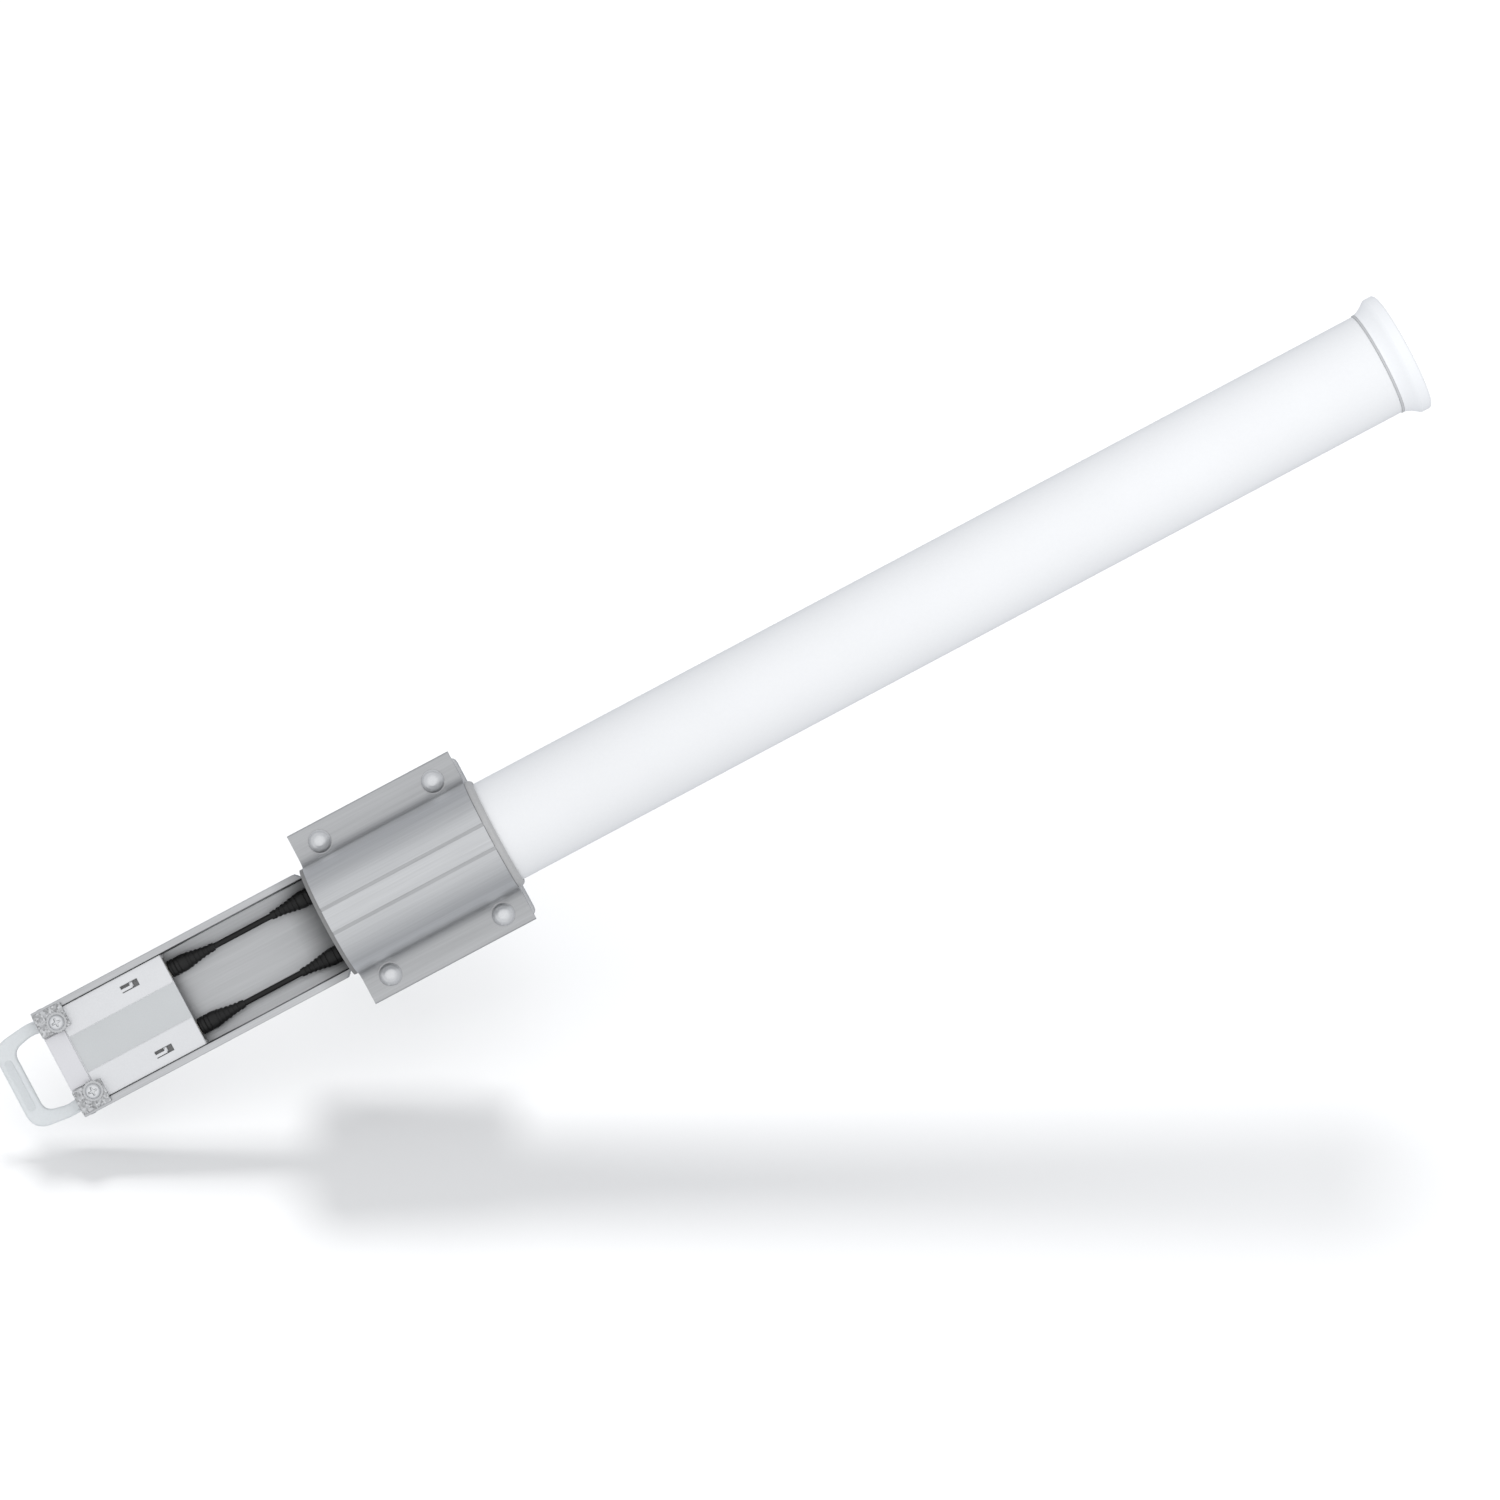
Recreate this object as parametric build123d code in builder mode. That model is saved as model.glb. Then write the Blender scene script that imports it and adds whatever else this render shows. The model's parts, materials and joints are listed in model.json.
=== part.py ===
from build123d import *
import os
from math import cos, radians, sin, sqrt

# Mast-mounted omnidirectional antenna, in millimetres.
# The origin is on the axis of the mast, level with the middle of the saddle.
# +Z runs up the mast, -Y is the front (away from the mast), X runs across.

os.makedirs("parts", exist_ok=True)

# ---------------------------------------------------------------- driving dimensions
# Mast clamp
mast_r = 25.0                 # nominal mast radius that the seats are cut to
seat_web = 3.0                # metal between the radome barrel and the mast seat
seat_half_angle = 62.0        # half of the arc that the saddle's seat covers, degrees
jaw_half_angle = 50.0         # half of the arc that a jaw's seat covers, degrees
jaw_length = 24.0             # along the mast
jaw_ear = 8.0                 # thickness of the jaw's ears
jaw_travel_out = 12.0         # how far the nuts can back off
bolt_offset = 7.75            # bolt axes outside the barrel, across
bolt_margin = 13.5            # bolt axes inside the saddle's ends, along
bolt_r = 3.0
bolt_head_r = 5.9
bolt_head_h = 3.4
neck_side = 6.6               # square neck under the bolt head
neck_depth = 4.0
nut_across_flats = 10.0
nut_thickness = 5.0
washer_r = 6.5
washer_thickness = 1.6

# Radome tube
tube_r = 26.9
tube_wall = 2.0
tube_above_saddle = 501.5     # from the saddle's top face to the tube's top
cap_height = 13.3
cap_flare = 4.7               # rim outside the tube
cap_wall = 2.4
cap_spigot = 16.0             # length of the cap inside the tube

# Saddle extrusion
saddle_length = 91.0
flange_margin = 9.75          # flange outside the bolt axes
flange_thickness = 5.0
flange_set_back = 2.0         # flange front face behind the tube's axis
barrel_wall = 2.9
arch_fillet = 6.0
groove_x = 6.6                # half spacing of the two grooves on the arch
groove_width = 1.8
groove_depth = 0.9
seat_block_wall = 2.0         # metal outside the ends of the mast seat
set_screw_angle = 45.0        # from the rear, degrees
set_screw_inset = 7.0         # nearer the middle than the clamp bolts
set_screw_r = 2.0
set_screw_length = 6.0

# Channel and its bracket
channel_inset = 0.75          # channel sides inside the barrel's width
channel_length = 152.5
channel_gap = 2.5             # below the saddle's lower face
channel_depth = 19.0
channel_front = 1.0           # rail fronts behind the tube's axis
rail_thickness = 3.7
floor_thickness = 2.5
rail_chamfer = 4.0
bracket_thickness = 4.0
bracket_width = 28.0
bracket_drop = 37.0
foot_thickness = 5.0
foot_screw_inset = 6.0        # inside the seat block's sides
bracket_screw_r = 2.5
channel_screw_x = 8.0
channel_screw_drop = 22.0     # below the channel's upper end
channel_screw_r = 2.0

# Radio mount
mount_length = 71.0
mount_skin = 2.5
mount_skirt = 2.2
mount_recess = 1.0            # skin front behind the rail fronts
mount_wall_drop = 9.5         # end wall below the mount's upper edge, clear of the coupling nuts
panel_half_width = 10.0
panel_depth = 0.5
strip_height = 11.5           # raised strip at the lower end
strip_rise = 0.8
slot_inset = 4.55             # slot centres inside the mount's skirts
slot_up = 50.5                # snap slots above the mount's lower end
slot_length = 9.5
slot_width = 3.6
corner_plate_width = 13.0
corner_plate_length = 16.0
corner_plate_thickness = 1.4
corner_plate_inset = 1.25     # inside the channel's sides
corner_screw_up = 10.0        # screws above the mount's lower end
corner_screw_r = 2.0
corner_head_r = 4.0
corner_head_h = 2.4
corner_washer_r = 5.4
corner_washer_thickness = 0.8
spacer_r = 2.9

# Release loop
loop_reach = 27.0             # below the mount's lower end
loop_band = 9.6
loop_thickness = 4.0
loop_overhang = 0.35          # loop's widest part outside the rails' inner faces
loop_taper = 2.5              # narrower at its far end, each side
loop_arm = 6.4
loop_corner_r = 12.0
hinge_up = 3.6                # hinge pin above the mount's lower end
hinge_back = 12.0             # hinge pin behind the tube's axis
hinge_pin_r = 1.5
hinge_barrel_r = 3.0
finger_length = 7.0
finger_width = 10.0
finger_thickness = 2.4
finger_travel = 2.4           # room between the finger and the latch spring's tip
leaf_thickness = 0.6
leaf_width = 8.0

# Jumpers
jumper_back = 9.4             # jumper axes behind the tube's axis
cable_r = 1.5
boot_r = 4.5
boot_tip_r = 2.1
boot_length = 25.0
boot_grip = 8.0               # full-width part of the boot
jack_r = 3.175
jack_bore_r = 2.2
jack_reach = 9.0
jack_flange_r = 5.0
jack_flange_thickness = 2.0
jam_nut_thickness = 2.0
coupling_across_flats = 8.0
coupling_length = 7.6
coupling_lip = 1.0

# Base plug
plug_flange = 2.0
plug_recess = 11.5
plug_floor = 6.0
plug_sleeve = 1.1             # wall of the recess
o_ring_r = 0.7

# Parts inside the radome
board_inset = 4.9             # board edges inside the tube's bore
board_thickness = 1.6
board_foot = 5.0              # board's lower end above the plug
element_count = 7
element_length = 27.0
element_width = 9.0
foil = 0.3
feed_width = 3.0
spacer_count = 4
foam_thickness = 12.0
feed_coax_r = 1.0

# Clearances
tube_clearance = 0.2          # saddle bore round the tube
plug_clearance = 0.2          # plug and cap spigot inside the tube
foam_clearance = 0.3
bolt_clearance = 0.3          # jaw holes round the clamp bolts
neck_clearance = 0.15
thread_clearance = 0.06       # nuts on their threads
mount_clearance = 0.3         # radio mount inside the channel
hinge_clearance = 0.05
screw_clearance = 0.2
stand_off = 0.3               # between pieces that move past each other

# ---------------------------------------------------------------- worked-out places
barrel_r = tube_r + tube_clearance + barrel_wall
bolt_x = barrel_r + bolt_offset
saddle_width = 2 * (bolt_x + flange_margin)
cap_rim_r = tube_r + cap_flare
bore_r = tube_r + tube_clearance
axis_y = -(mast_r + seat_web + barrel_r)
saddle_top = saddle_length / 2
saddle_bottom = -saddle_top
bolt_z = saddle_top - bolt_margin
set_screw_z = bolt_z - set_screw_inset
flange_front = axis_y + flange_set_back
flange_back = flange_front + flange_thickness
seat_edge_x = mast_r * sin(radians(seat_half_angle))
seat_edge_y = -mast_r * cos(radians(seat_half_angle))
seat_block_half = seat_edge_x + seat_block_wall
foot_screw_x = seat_block_half - foot_screw_inset
spot_r = bolt_head_r + 0.6
dome_rise = bolt_head_h - 0.6
dome_r = (bolt_head_r**2 + dome_rise**2) / (2 * dome_rise)

jaw_edge_x = mast_r * sin(radians(jaw_half_angle))
jaw_edge_y = mast_r * cos(radians(jaw_half_angle))
jaw_block_half = jaw_edge_x + 3.0
jaw_back = mast_r + 7.0
jaw_half_width = bolt_x + washer_r + 1.5
nut_front = jaw_back + washer_thickness
bolt_end = nut_front + nut_thickness + jaw_travel_out + 4.0

tube_inner_r = tube_r - tube_wall
tube_bottom = saddle_bottom
tube_top = saddle_top + tube_above_saddle
plug_r = tube_inner_r - plug_clearance
plug_lower = saddle_bottom - plug_flange
plug_face = plug_lower + plug_recess
plug_top = plug_face + plug_floor
plug_flange_r = barrel_r - 0.5
plug_recess_r = plug_r - plug_sleeve

channel_half = barrel_r - channel_inset
channel_width = 2 * channel_half
channel_top = saddle_bottom - channel_gap
channel_bottom = channel_top - channel_length
rail_front = axis_y + channel_front
channel_back = rail_front + channel_depth
floor_front = channel_back - floor_thickness
rail_inner = channel_half - rail_thickness
screw_z = channel_top - channel_screw_drop
channel_screw_places = [(-channel_screw_x, screw_z), (channel_screw_x, screw_z)]

foot_screw_head_r = bracket_screw_r + 1.7
beside_bore = axis_y + sqrt(bore_r**2 - foot_screw_x**2) + bracket_screw_r + 4.0
foot_screw_y = max(beside_bore, channel_back + foot_screw_head_r + 1.0)

mount_bottom = channel_bottom
mount_top = mount_bottom + mount_length
mount_half = rail_inner - mount_clearance
skin_front = rail_front + mount_recess
skin_back = skin_front + mount_skin
end_wall_top = mount_top - mount_wall_drop
end_wall_bottom = end_wall_top - mount_skin
mount_inner = mount_half - mount_skirt
slot_x = mount_inner - slot_inset
corner_plate_x = channel_half - corner_plate_inset - corner_plate_width / 2
corner_screw_x = mount_inner - spacer_r - 0.7

hinge_y = axis_y + hinge_back
hinge_z = mount_bottom + hinge_up
corner_screw_z = mount_bottom + corner_screw_up
corner_places = [(-corner_screw_x, corner_screw_z), (corner_screw_x, corner_screw_z)]
plate_front = rail_front - corner_plate_thickness

jumper_y = axis_y + jumper_back
coupling_corner_r = coupling_across_flats / sqrt(3)
jumper_x = sqrt((plug_recess_r - coupling_corner_r - 0.25) ** 2 - jumper_back**2)
boot_upper = saddle_bottom - 1.0
boot_lower = mount_top + 0.5
coupling_gap = 0.3

# ---------------------------------------------------------------- radome
with BuildPart() as radome_tube:
    with BuildSketch(Plane.XY.offset(tube_bottom)):
        with Locations((0, axis_y)):
            Circle(tube_r)
            Circle(tube_inner_r, mode=Mode.SUBTRACT)
    extrude(amount=tube_top - tube_bottom)
radome_tube.part.label = "radome_tube"
export_step(radome_tube.part, "parts/radome_tube.step")

# The seal ring sits on the tube's end, under the cap's shoulder.
seal_height = 1.2
cap_foot = tube_top + seal_height
with BuildPart() as cap_seal_ring:
    with BuildSketch(Plane.XY.offset(tube_top)):
        with Locations((0, axis_y)):
            Circle(tube_r + 0.5)
            Circle(tube_inner_r, mode=Mode.SUBTRACT)
    extrude(amount=seal_height)
cap_seal_ring.part.label = "cap_seal_ring"
export_step(cap_seal_ring.part, "parts/cap_seal_ring.step")

# The cap flares from the tube's width to its rim, is closed by a shallow dished top and has a spigot in the tube.
cap_top = cap_foot + cap_height
spigot_r = tube_inner_r - plug_clearance
with BuildPart() as radome_cap:
    with BuildSketch(Plane.XZ.offset(-axis_y)):
        with BuildLine():
            foot_edge = Line((spigot_r, cap_foot), (tube_r + 0.5, cap_foot))
            flare = Spline(
                (tube_r + 0.5, cap_foot),
                (cap_rim_r - 1.0, cap_foot + cap_height * 0.4),
                (cap_rim_r, cap_top - 1.2),
                tangents=((0.25, 1.0), (0.12, 1.0)),
            )
            rim = Line((cap_rim_r, cap_top - 1.2), (cap_rim_r - 1.2, cap_top))
            lid = Line((cap_rim_r - 1.2, cap_top), (0, cap_top))
            middle = Line((0, cap_top), (0, cap_top - cap_wall))
            under = Line((0, cap_top - cap_wall), (spigot_r - cap_wall, cap_top - cap_wall))
            inner = Line((spigot_r - cap_wall, cap_top - cap_wall), (spigot_r - cap_wall, cap_foot - cap_spigot))
            spigot_end = Line(
                (spigot_r - cap_wall, cap_foot - cap_spigot),
                (spigot_r, cap_foot - cap_spigot),
            )
            spigot_side = Line((spigot_r, cap_foot - cap_spigot), (spigot_r, cap_foot))
        make_face()
    revolve(axis=Axis((0, axis_y, 0), (0, 0, 1)))
radome_cap.part.label = "radome_cap"
export_step(radome_cap.part, "parts/radome_cap.step")

# A collar ring closes the joint between the tube and the saddle's upper face.
collar_height = 4.0
with BuildPart() as tube_collar:
    with BuildSketch(Plane.XY.offset(saddle_top)):
        with Locations((0, axis_y)):
            Circle(barrel_r - 0.6)
            Circle(tube_r + 0.05, mode=Mode.SUBTRACT)
    extrude(amount=collar_height)
    fillet(tube_collar.edges().group_by(Axis.Z)[-1].sort_by(SortBy.LENGTH)[-1], radius=1.2)
tube_collar.part.label = "tube_collar"
export_step(tube_collar.part, "parts/tube_collar.step")

# ---------------------------------------------------------------- saddle
# One extruded section: barrel round the tube, flat flanges, and a mast seat behind.
groove_y = axis_y - sqrt(barrel_r**2 - groove_x**2)
with BuildPart() as saddle:
    with BuildSketch(Plane.XY.offset(saddle_bottom)) as saddle_section:
        with Locations((0, axis_y)):
            Circle(barrel_r)
        with Locations((0, (flange_front + flange_back) / 2)):
            Rectangle(saddle_width, flange_thickness)
        with Locations((0, (axis_y + seat_edge_y) / 2)):
            Rectangle(2 * seat_block_half, seat_edge_y - axis_y)
        corners = saddle_section.vertices().filter_by_position(Axis.Y, flange_front - 0.1, flange_front + 0.1)
        fillet(corners.filter_by_position(Axis.X, -barrel_r, barrel_r), radius=arch_fillet)
        with Locations((0, axis_y)):
            Circle(bore_r, mode=Mode.SUBTRACT)
        Circle(mast_r, mode=Mode.SUBTRACT)
        with Locations((-groove_x, groove_y), (groove_x, groove_y)):
            Rectangle(groove_width, 2 * groove_depth, mode=Mode.SUBTRACT)
    extrude(amount=saddle_length)
    fillet(saddle.edges().filter_by(Axis.Z).filter_by_position(
        Axis.X, saddle_width / 2 - 0.1, saddle_width / 2 + 0.1), radius=1.0)
    fillet(saddle.edges().filter_by(Axis.Z).filter_by_position(
        Axis.X, -saddle_width / 2 - 0.1, -saddle_width / 2 + 0.1), radius=1.0)
    # Spot faces for the bolt heads, then square holes for their necks.
    with BuildSketch(Plane.XZ.offset(-flange_front)):
        with GridLocations(2 * bolt_x, 2 * bolt_z, 2, 2):
            Circle(spot_r)
    extrude(amount=arch_fillet + 2, mode=Mode.SUBTRACT)
    with BuildSketch(Plane.XZ.offset(-flange_front)):
        with GridLocations(2 * bolt_x, 2 * bolt_z, 2, 2):
            Rectangle(neck_side + 2 * neck_clearance, neck_side + 2 * neck_clearance)
    extrude(amount=-(flange_thickness + 1), mode=Mode.SUBTRACT)
    # Radial holes for the tube's set screws.
    for side in (-1, 1):
        for z in (-set_screw_z, set_screw_z):
            out = (side * sin(radians(set_screw_angle)), cos(radians(set_screw_angle)), 0)
            with BuildSketch(Plane(origin=(0, axis_y, z), x_dir=(0, 0, 1), z_dir=out).offset(bore_r - 1)):
                Circle(set_screw_r)
            extrude(amount=set_screw_length + 8, mode=Mode.SUBTRACT)
    # Blind holes up into the seat block for the bracket's screws.
    with BuildSketch(Plane.XY.offset(saddle_bottom)):
        with Locations((-foot_screw_x, foot_screw_y), (foot_screw_x, foot_screw_y)):
            Circle(bracket_screw_r)
    extrude(amount=14, mode=Mode.SUBTRACT)
saddle.part.label = "saddle"
export_step(saddle.part, "parts/saddle.step")

with BuildPart() as tube_set_screws:
    for side in (-1, 1):
        for z in (-set_screw_z, set_screw_z):
            out = (side * sin(radians(set_screw_angle)), cos(radians(set_screw_angle)), 0)
            seat = Plane(origin=(0, axis_y, z), x_dir=(0, 0, 1), z_dir=out).offset(tube_r + 0.05)
            with BuildSketch(seat):
                Circle(set_screw_r - 0.03)
            extrude(amount=set_screw_length)
            with BuildSketch(seat.offset(set_screw_length)):
                RegularPolygon(radius=1.1, side_count=6)
            extrude(amount=-2.0, mode=Mode.SUBTRACT)
tube_set_screws.part.label = "tube_set_screws"
export_step(tube_set_screws.part, "parts/tube_set_screws.step")

# ---------------------------------------------------------------- mast clamp
# Domed bolts pass from the front of the flanges, beside the mast, to the jaws.
with BuildPart() as clamp_bolts:
    for x in (-bolt_x, bolt_x):
        for z in (-bolt_z, bolt_z):
            with BuildSketch(Plane.XY.offset(z)):
                with BuildLine():
                    Line((x, flange_front - bolt_head_h), (x, bolt_end))
                    Line((x, bolt_end), (x + bolt_r, bolt_end))
                    Line((x + bolt_r, bolt_end), (x + bolt_r, flange_front))
                    Line((x + bolt_r, flange_front), (x + bolt_head_r, flange_front))
                    Line((x + bolt_head_r, flange_front), (x + bolt_head_r, flange_front - 0.6))
                    RadiusArc(
                        (x + bolt_head_r, flange_front - 0.6),
                        (x, flange_front - bolt_head_h),
                        dome_r,
                    )
                make_face()
            revolve(axis=Axis((x, 0, z), (0, 1, 0)))
            with BuildSketch(Plane.XZ.offset(-flange_front)):
                with Locations((x, z)):
                    Rectangle(neck_side, neck_side)
            extrude(amount=-neck_depth)
clamp_bolts.part.label = "clamp_bolts"
export_step(clamp_bolts.part, "parts/clamp_bolts.step")

for level, z in (("lower", -bolt_z), ("upper", bolt_z)):
    # A jaw is a bar with a round seat for the mast and an ear round each bolt.
    with BuildPart() as jaw:
        with BuildSketch(Plane.XY.offset(z - jaw_length / 2)) as jaw_section:
            with Locations((0, jaw_back - jaw_ear / 2)):
                Rectangle(2 * jaw_half_width, jaw_ear)
            with Locations((0, (jaw_edge_y + jaw_back) / 2)):
                Rectangle(2 * jaw_block_half, jaw_back - jaw_edge_y)
            inner_corners = jaw_section.vertices().filter_by_position(
                Axis.Y, jaw_back - jaw_ear - 0.1, jaw_back - jaw_ear + 0.1)
            fillet(inner_corners.filter_by_position(
                Axis.X, -jaw_block_half - 0.1, jaw_block_half + 0.1), radius=3.0)
            Circle(mast_r, mode=Mode.SUBTRACT)
        extrude(amount=jaw_length)
        fillet(jaw.edges().filter_by(Axis.Y).filter_by_position(
            Axis.X, jaw_half_width - 0.1, jaw_half_width + 0.1), radius=4.0)
        fillet(jaw.edges().filter_by(Axis.Y).filter_by_position(
            Axis.X, -jaw_half_width - 0.1, -jaw_half_width + 0.1), radius=4.0)
        with BuildSketch(Plane.XZ.offset(-jaw_back)):
            with Locations((-bolt_x, z), (bolt_x, z)):
                Circle(bolt_r + bolt_clearance)
        extrude(amount=jaw_ear + 1, mode=Mode.SUBTRACT)
    jaw.part.label = f"{level}_jaw"
    export_step(jaw.part, f"parts/{level}_jaw.step")

    with BuildPart() as jaw_washers:
        with BuildSketch(Plane.XZ.offset(-jaw_back)):
            with Locations((-bolt_x, z), (bolt_x, z)):
                Circle(washer_r)
                Circle(bolt_r + 0.2, mode=Mode.SUBTRACT)
        extrude(amount=-washer_thickness)
    jaw_washers.part.label = f"{level}_jaw_washers"
    export_step(jaw_washers.part, f"parts/{level}_jaw_washers.step")

    with BuildPart() as jaw_nuts:
        with BuildSketch(Plane.XZ.offset(-nut_front)):
            with Locations((-bolt_x, z), (bolt_x, z)):
                RegularPolygon(radius=nut_across_flats / 2, side_count=6, major_radius=False)
                Circle(bolt_r + thread_clearance, mode=Mode.SUBTRACT)
        extrude(amount=-nut_thickness)
    jaw_nuts.part.label = f"{level}_jaw_nuts"
    export_step(jaw_nuts.part, f"parts/{level}_jaw_nuts.step")

# ---------------------------------------------------------------- base plug and jacks
jack_places = [(-jumper_x, jumper_y), (jumper_x, jumper_y)]
bracket_face = channel_back - 0.3
with BuildPart() as base_plug:
    with BuildSketch(Plane.XY.offset(plug_lower)):
        with Locations((0, axis_y)):
            Circle(plug_flange_r)
        with Locations((0, bracket_face + plug_flange_r)):
            Rectangle(4 * plug_flange_r, 2 * plug_flange_r, mode=Mode.SUBTRACT)
    extrude(amount=plug_flange)
    with BuildSketch(Plane.XY.offset(saddle_bottom)):
        with Locations((0, axis_y)):
            Circle(plug_r)
    extrude(amount=plug_top - saddle_bottom)
    with BuildSketch(Plane.XY.offset(plug_lower - 1)):
        with Locations((0, axis_y)):
            Circle(plug_recess_r)
    extrude(amount=plug_recess + 1, mode=Mode.SUBTRACT)
    with BuildSketch(Plane.XY.offset(plug_face + plug_floor / 2 - o_ring_r - 0.2)):
        with Locations((0, axis_y)):
            Circle(plug_r + 1)
            Circle(tube_inner_r - 2 * o_ring_r, mode=Mode.SUBTRACT)
    extrude(amount=2 * o_ring_r + 0.4, mode=Mode.SUBTRACT)
    with BuildSketch(Plane.XY.offset(plug_face - 1)):
        with Locations(*jack_places):
            Circle(jack_r + 0.05)
    extrude(amount=plug_floor + 2, mode=Mode.SUBTRACT)
base_plug.part.label = "base_plug"
export_step(base_plug.part, "parts/base_plug.step")

with BuildPart() as base_o_ring:
    with Locations((0, axis_y, plug_face + plug_floor / 2)):
        Torus(tube_inner_r - o_ring_r, o_ring_r)
base_o_ring.part.label = "base_o_ring"
export_step(base_o_ring.part, "parts/base_o_ring.step")

jack_mouth = plug_face - jack_reach
for side, place in zip(("left", "right"), jack_places):
    # Bulkhead jack: flange inside the radome, threaded barrel down through the plug.
    with BuildPart() as rf_jack:
        with BuildSketch(Plane.XY.offset(jack_mouth)):
            with Locations(place):
                Circle(jack_r)
        extrude(amount=plug_top - jack_mouth)
        with BuildSketch(Plane.XY.offset(plug_top)):
            with Locations(place):
                Circle(jack_flange_r)
        extrude(amount=jack_flange_thickness)
        with BuildSketch(Plane.XY.offset(jack_mouth)):
            with Locations(place):
                Circle(jack_bore_r)
        extrude(amount=jack_reach, mode=Mode.SUBTRACT)
    rf_jack.part.label = f"rf_jack_{side}"
    export_step(rf_jack.part, f"parts/rf_jack_{side}.step")

with BuildPart() as jack_nuts:
    with BuildSketch(Plane.XY.offset(plug_face - jam_nut_thickness)):
        with Locations(*jack_places):
            RegularPolygon(radius=coupling_across_flats / 2, side_count=6, major_radius=False)
            Circle(jack_r + thread_clearance, mode=Mode.SUBTRACT)
    extrude(amount=jam_nut_thickness)
jack_nuts.part.label = "jack_nuts"
export_step(jack_nuts.part, "parts/jack_nuts.step")

# ---------------------------------------------------------------- channel and bracket
with BuildPart() as channel:
    with BuildSketch(Plane.XY.offset(channel_bottom)):
        with Locations((0, (rail_front + channel_back) / 2)):
            Rectangle(channel_width, channel_depth)
        with Locations((0, floor_front - channel_depth)):
            Rectangle(2 * rail_inner, 2 * channel_depth, mode=Mode.SUBTRACT)
    extrude(amount=channel_length)
    fillet(channel.edges().filter_by(Axis.Z).filter_by_position(
        Axis.Y, channel_back - 0.1, channel_back + 0.1), radius=1.5)
    # The rails' upper corners are cut off at a slant.
    for side in (-1, 1):
        with BuildSketch(Plane.XZ.offset(-channel_back - 1)):
            with BuildLine():
                Polyline(
                    (side * (channel_half + 1), channel_top + 1),
                    (side * (channel_half - rail_chamfer), channel_top + 1),
                    (side * (channel_half - rail_chamfer + 1), channel_top - 0.5),
                    (side * (channel_half + 1), channel_top - rail_chamfer),
                    close=True,
                )
            make_face()
        extrude(amount=channel_depth + 2, mode=Mode.SUBTRACT)
    # Hinge pin holes in the rails.
    with BuildSketch(Plane.YZ.offset(-channel_half - 1)):
        with Locations((hinge_y, hinge_z)):
            Circle(hinge_pin_r + 0.01)
    extrude(amount=channel_width + 2, mode=Mode.SUBTRACT)
    # Tapped holes in the floor: corner screws below, bracket's screws above.
    with BuildSketch(Plane.XZ.offset(-channel_back - 1)):
        with Locations(*corner_places):
            Circle(corner_screw_r)
        with Locations(*channel_screw_places):
            Circle(channel_screw_r)
    extrude(amount=floor_thickness + 2, mode=Mode.SUBTRACT)
channel.part.label = "channel"
export_step(channel.part, "parts/channel.step")

foot_back = -mast_r - 1.5
with BuildPart() as channel_bracket:
    with BuildSketch(Plane.XY.offset(saddle_bottom)):
        with Locations((0, (channel_back + foot_back) / 2)):
            Rectangle(2 * (foot_screw_x + 5.0), foot_back - channel_back)
    extrude(amount=-foot_thickness)
    with BuildSketch(Plane.XY.offset(saddle_bottom)):
        with Locations((0, channel_back + bracket_thickness / 2)):
            Rectangle(bracket_width, bracket_thickness)
    extrude(amount=-bracket_drop)
    with BuildSketch(Plane.XY.offset(saddle_bottom + 1)):
        with Locations((-foot_screw_x, foot_screw_y), (foot_screw_x, foot_screw_y)):
            Circle(bracket_screw_r + screw_clearance)
    extrude(amount=-foot_thickness - 2, mode=Mode.SUBTRACT)
    with BuildSketch(Plane.XZ.offset(-channel_back + 1)):
        with Locations(*channel_screw_places):
            Circle(channel_screw_r + screw_clearance)
    extrude(amount=-bracket_thickness - 2, mode=Mode.SUBTRACT)
channel_bracket.part.label = "channel_bracket"
export_step(channel_bracket.part, "parts/channel_bracket.step")

with BuildPart() as bracket_screws:
    for x in (-foot_screw_x, foot_screw_x):
        with BuildSketch(Plane.XY.offset(saddle_bottom - foot_thickness)):
            with Locations((x, foot_screw_y)):
                Circle(bracket_screw_r - 0.03)
        extrude(amount=foot_thickness + 12)
        with BuildSketch(Plane.XY.offset(saddle_bottom - foot_thickness)):
            with Locations((x, foot_screw_y)):
                Circle(foot_screw_head_r)
        extrude(amount=-3.5)
        with BuildSketch(Plane.XY.offset(saddle_bottom - foot_thickness - 3.5)):
            with Locations((x, foot_screw_y)):
                RegularPolygon(radius=2.3, side_count=6)
        extrude(amount=2.0, mode=Mode.SUBTRACT)
bracket_screws.part.label = "bracket_screws"
export_step(bracket_screws.part, "parts/bracket_screws.step")

bracket_back = channel_back + bracket_thickness
with BuildPart() as channel_screws:
    for x in (-channel_screw_x, channel_screw_x):
        with BuildSketch(Plane.XZ.offset(-bracket_back)):
            with Locations((x, screw_z)):
                Circle(channel_screw_r - 0.03)
        extrude(amount=bracket_thickness + floor_thickness)
        with BuildSketch(Plane.XZ.offset(-bracket_back)):
            with Locations((x, screw_z)):
                Circle(channel_screw_r + 1.6)
        extrude(amount=-2.2)
        with BuildSketch(Plane.XZ.offset(-bracket_back - 2.2)):
            with Locations((x, screw_z)):
                Rectangle(4.2, 0.9)
                Rectangle(0.9, 4.2)
        extrude(amount=1.2, mode=Mode.SUBTRACT)
channel_screws.part.label = "channel_screws"
export_step(channel_screws.part, "parts/channel_screws.step")

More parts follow.
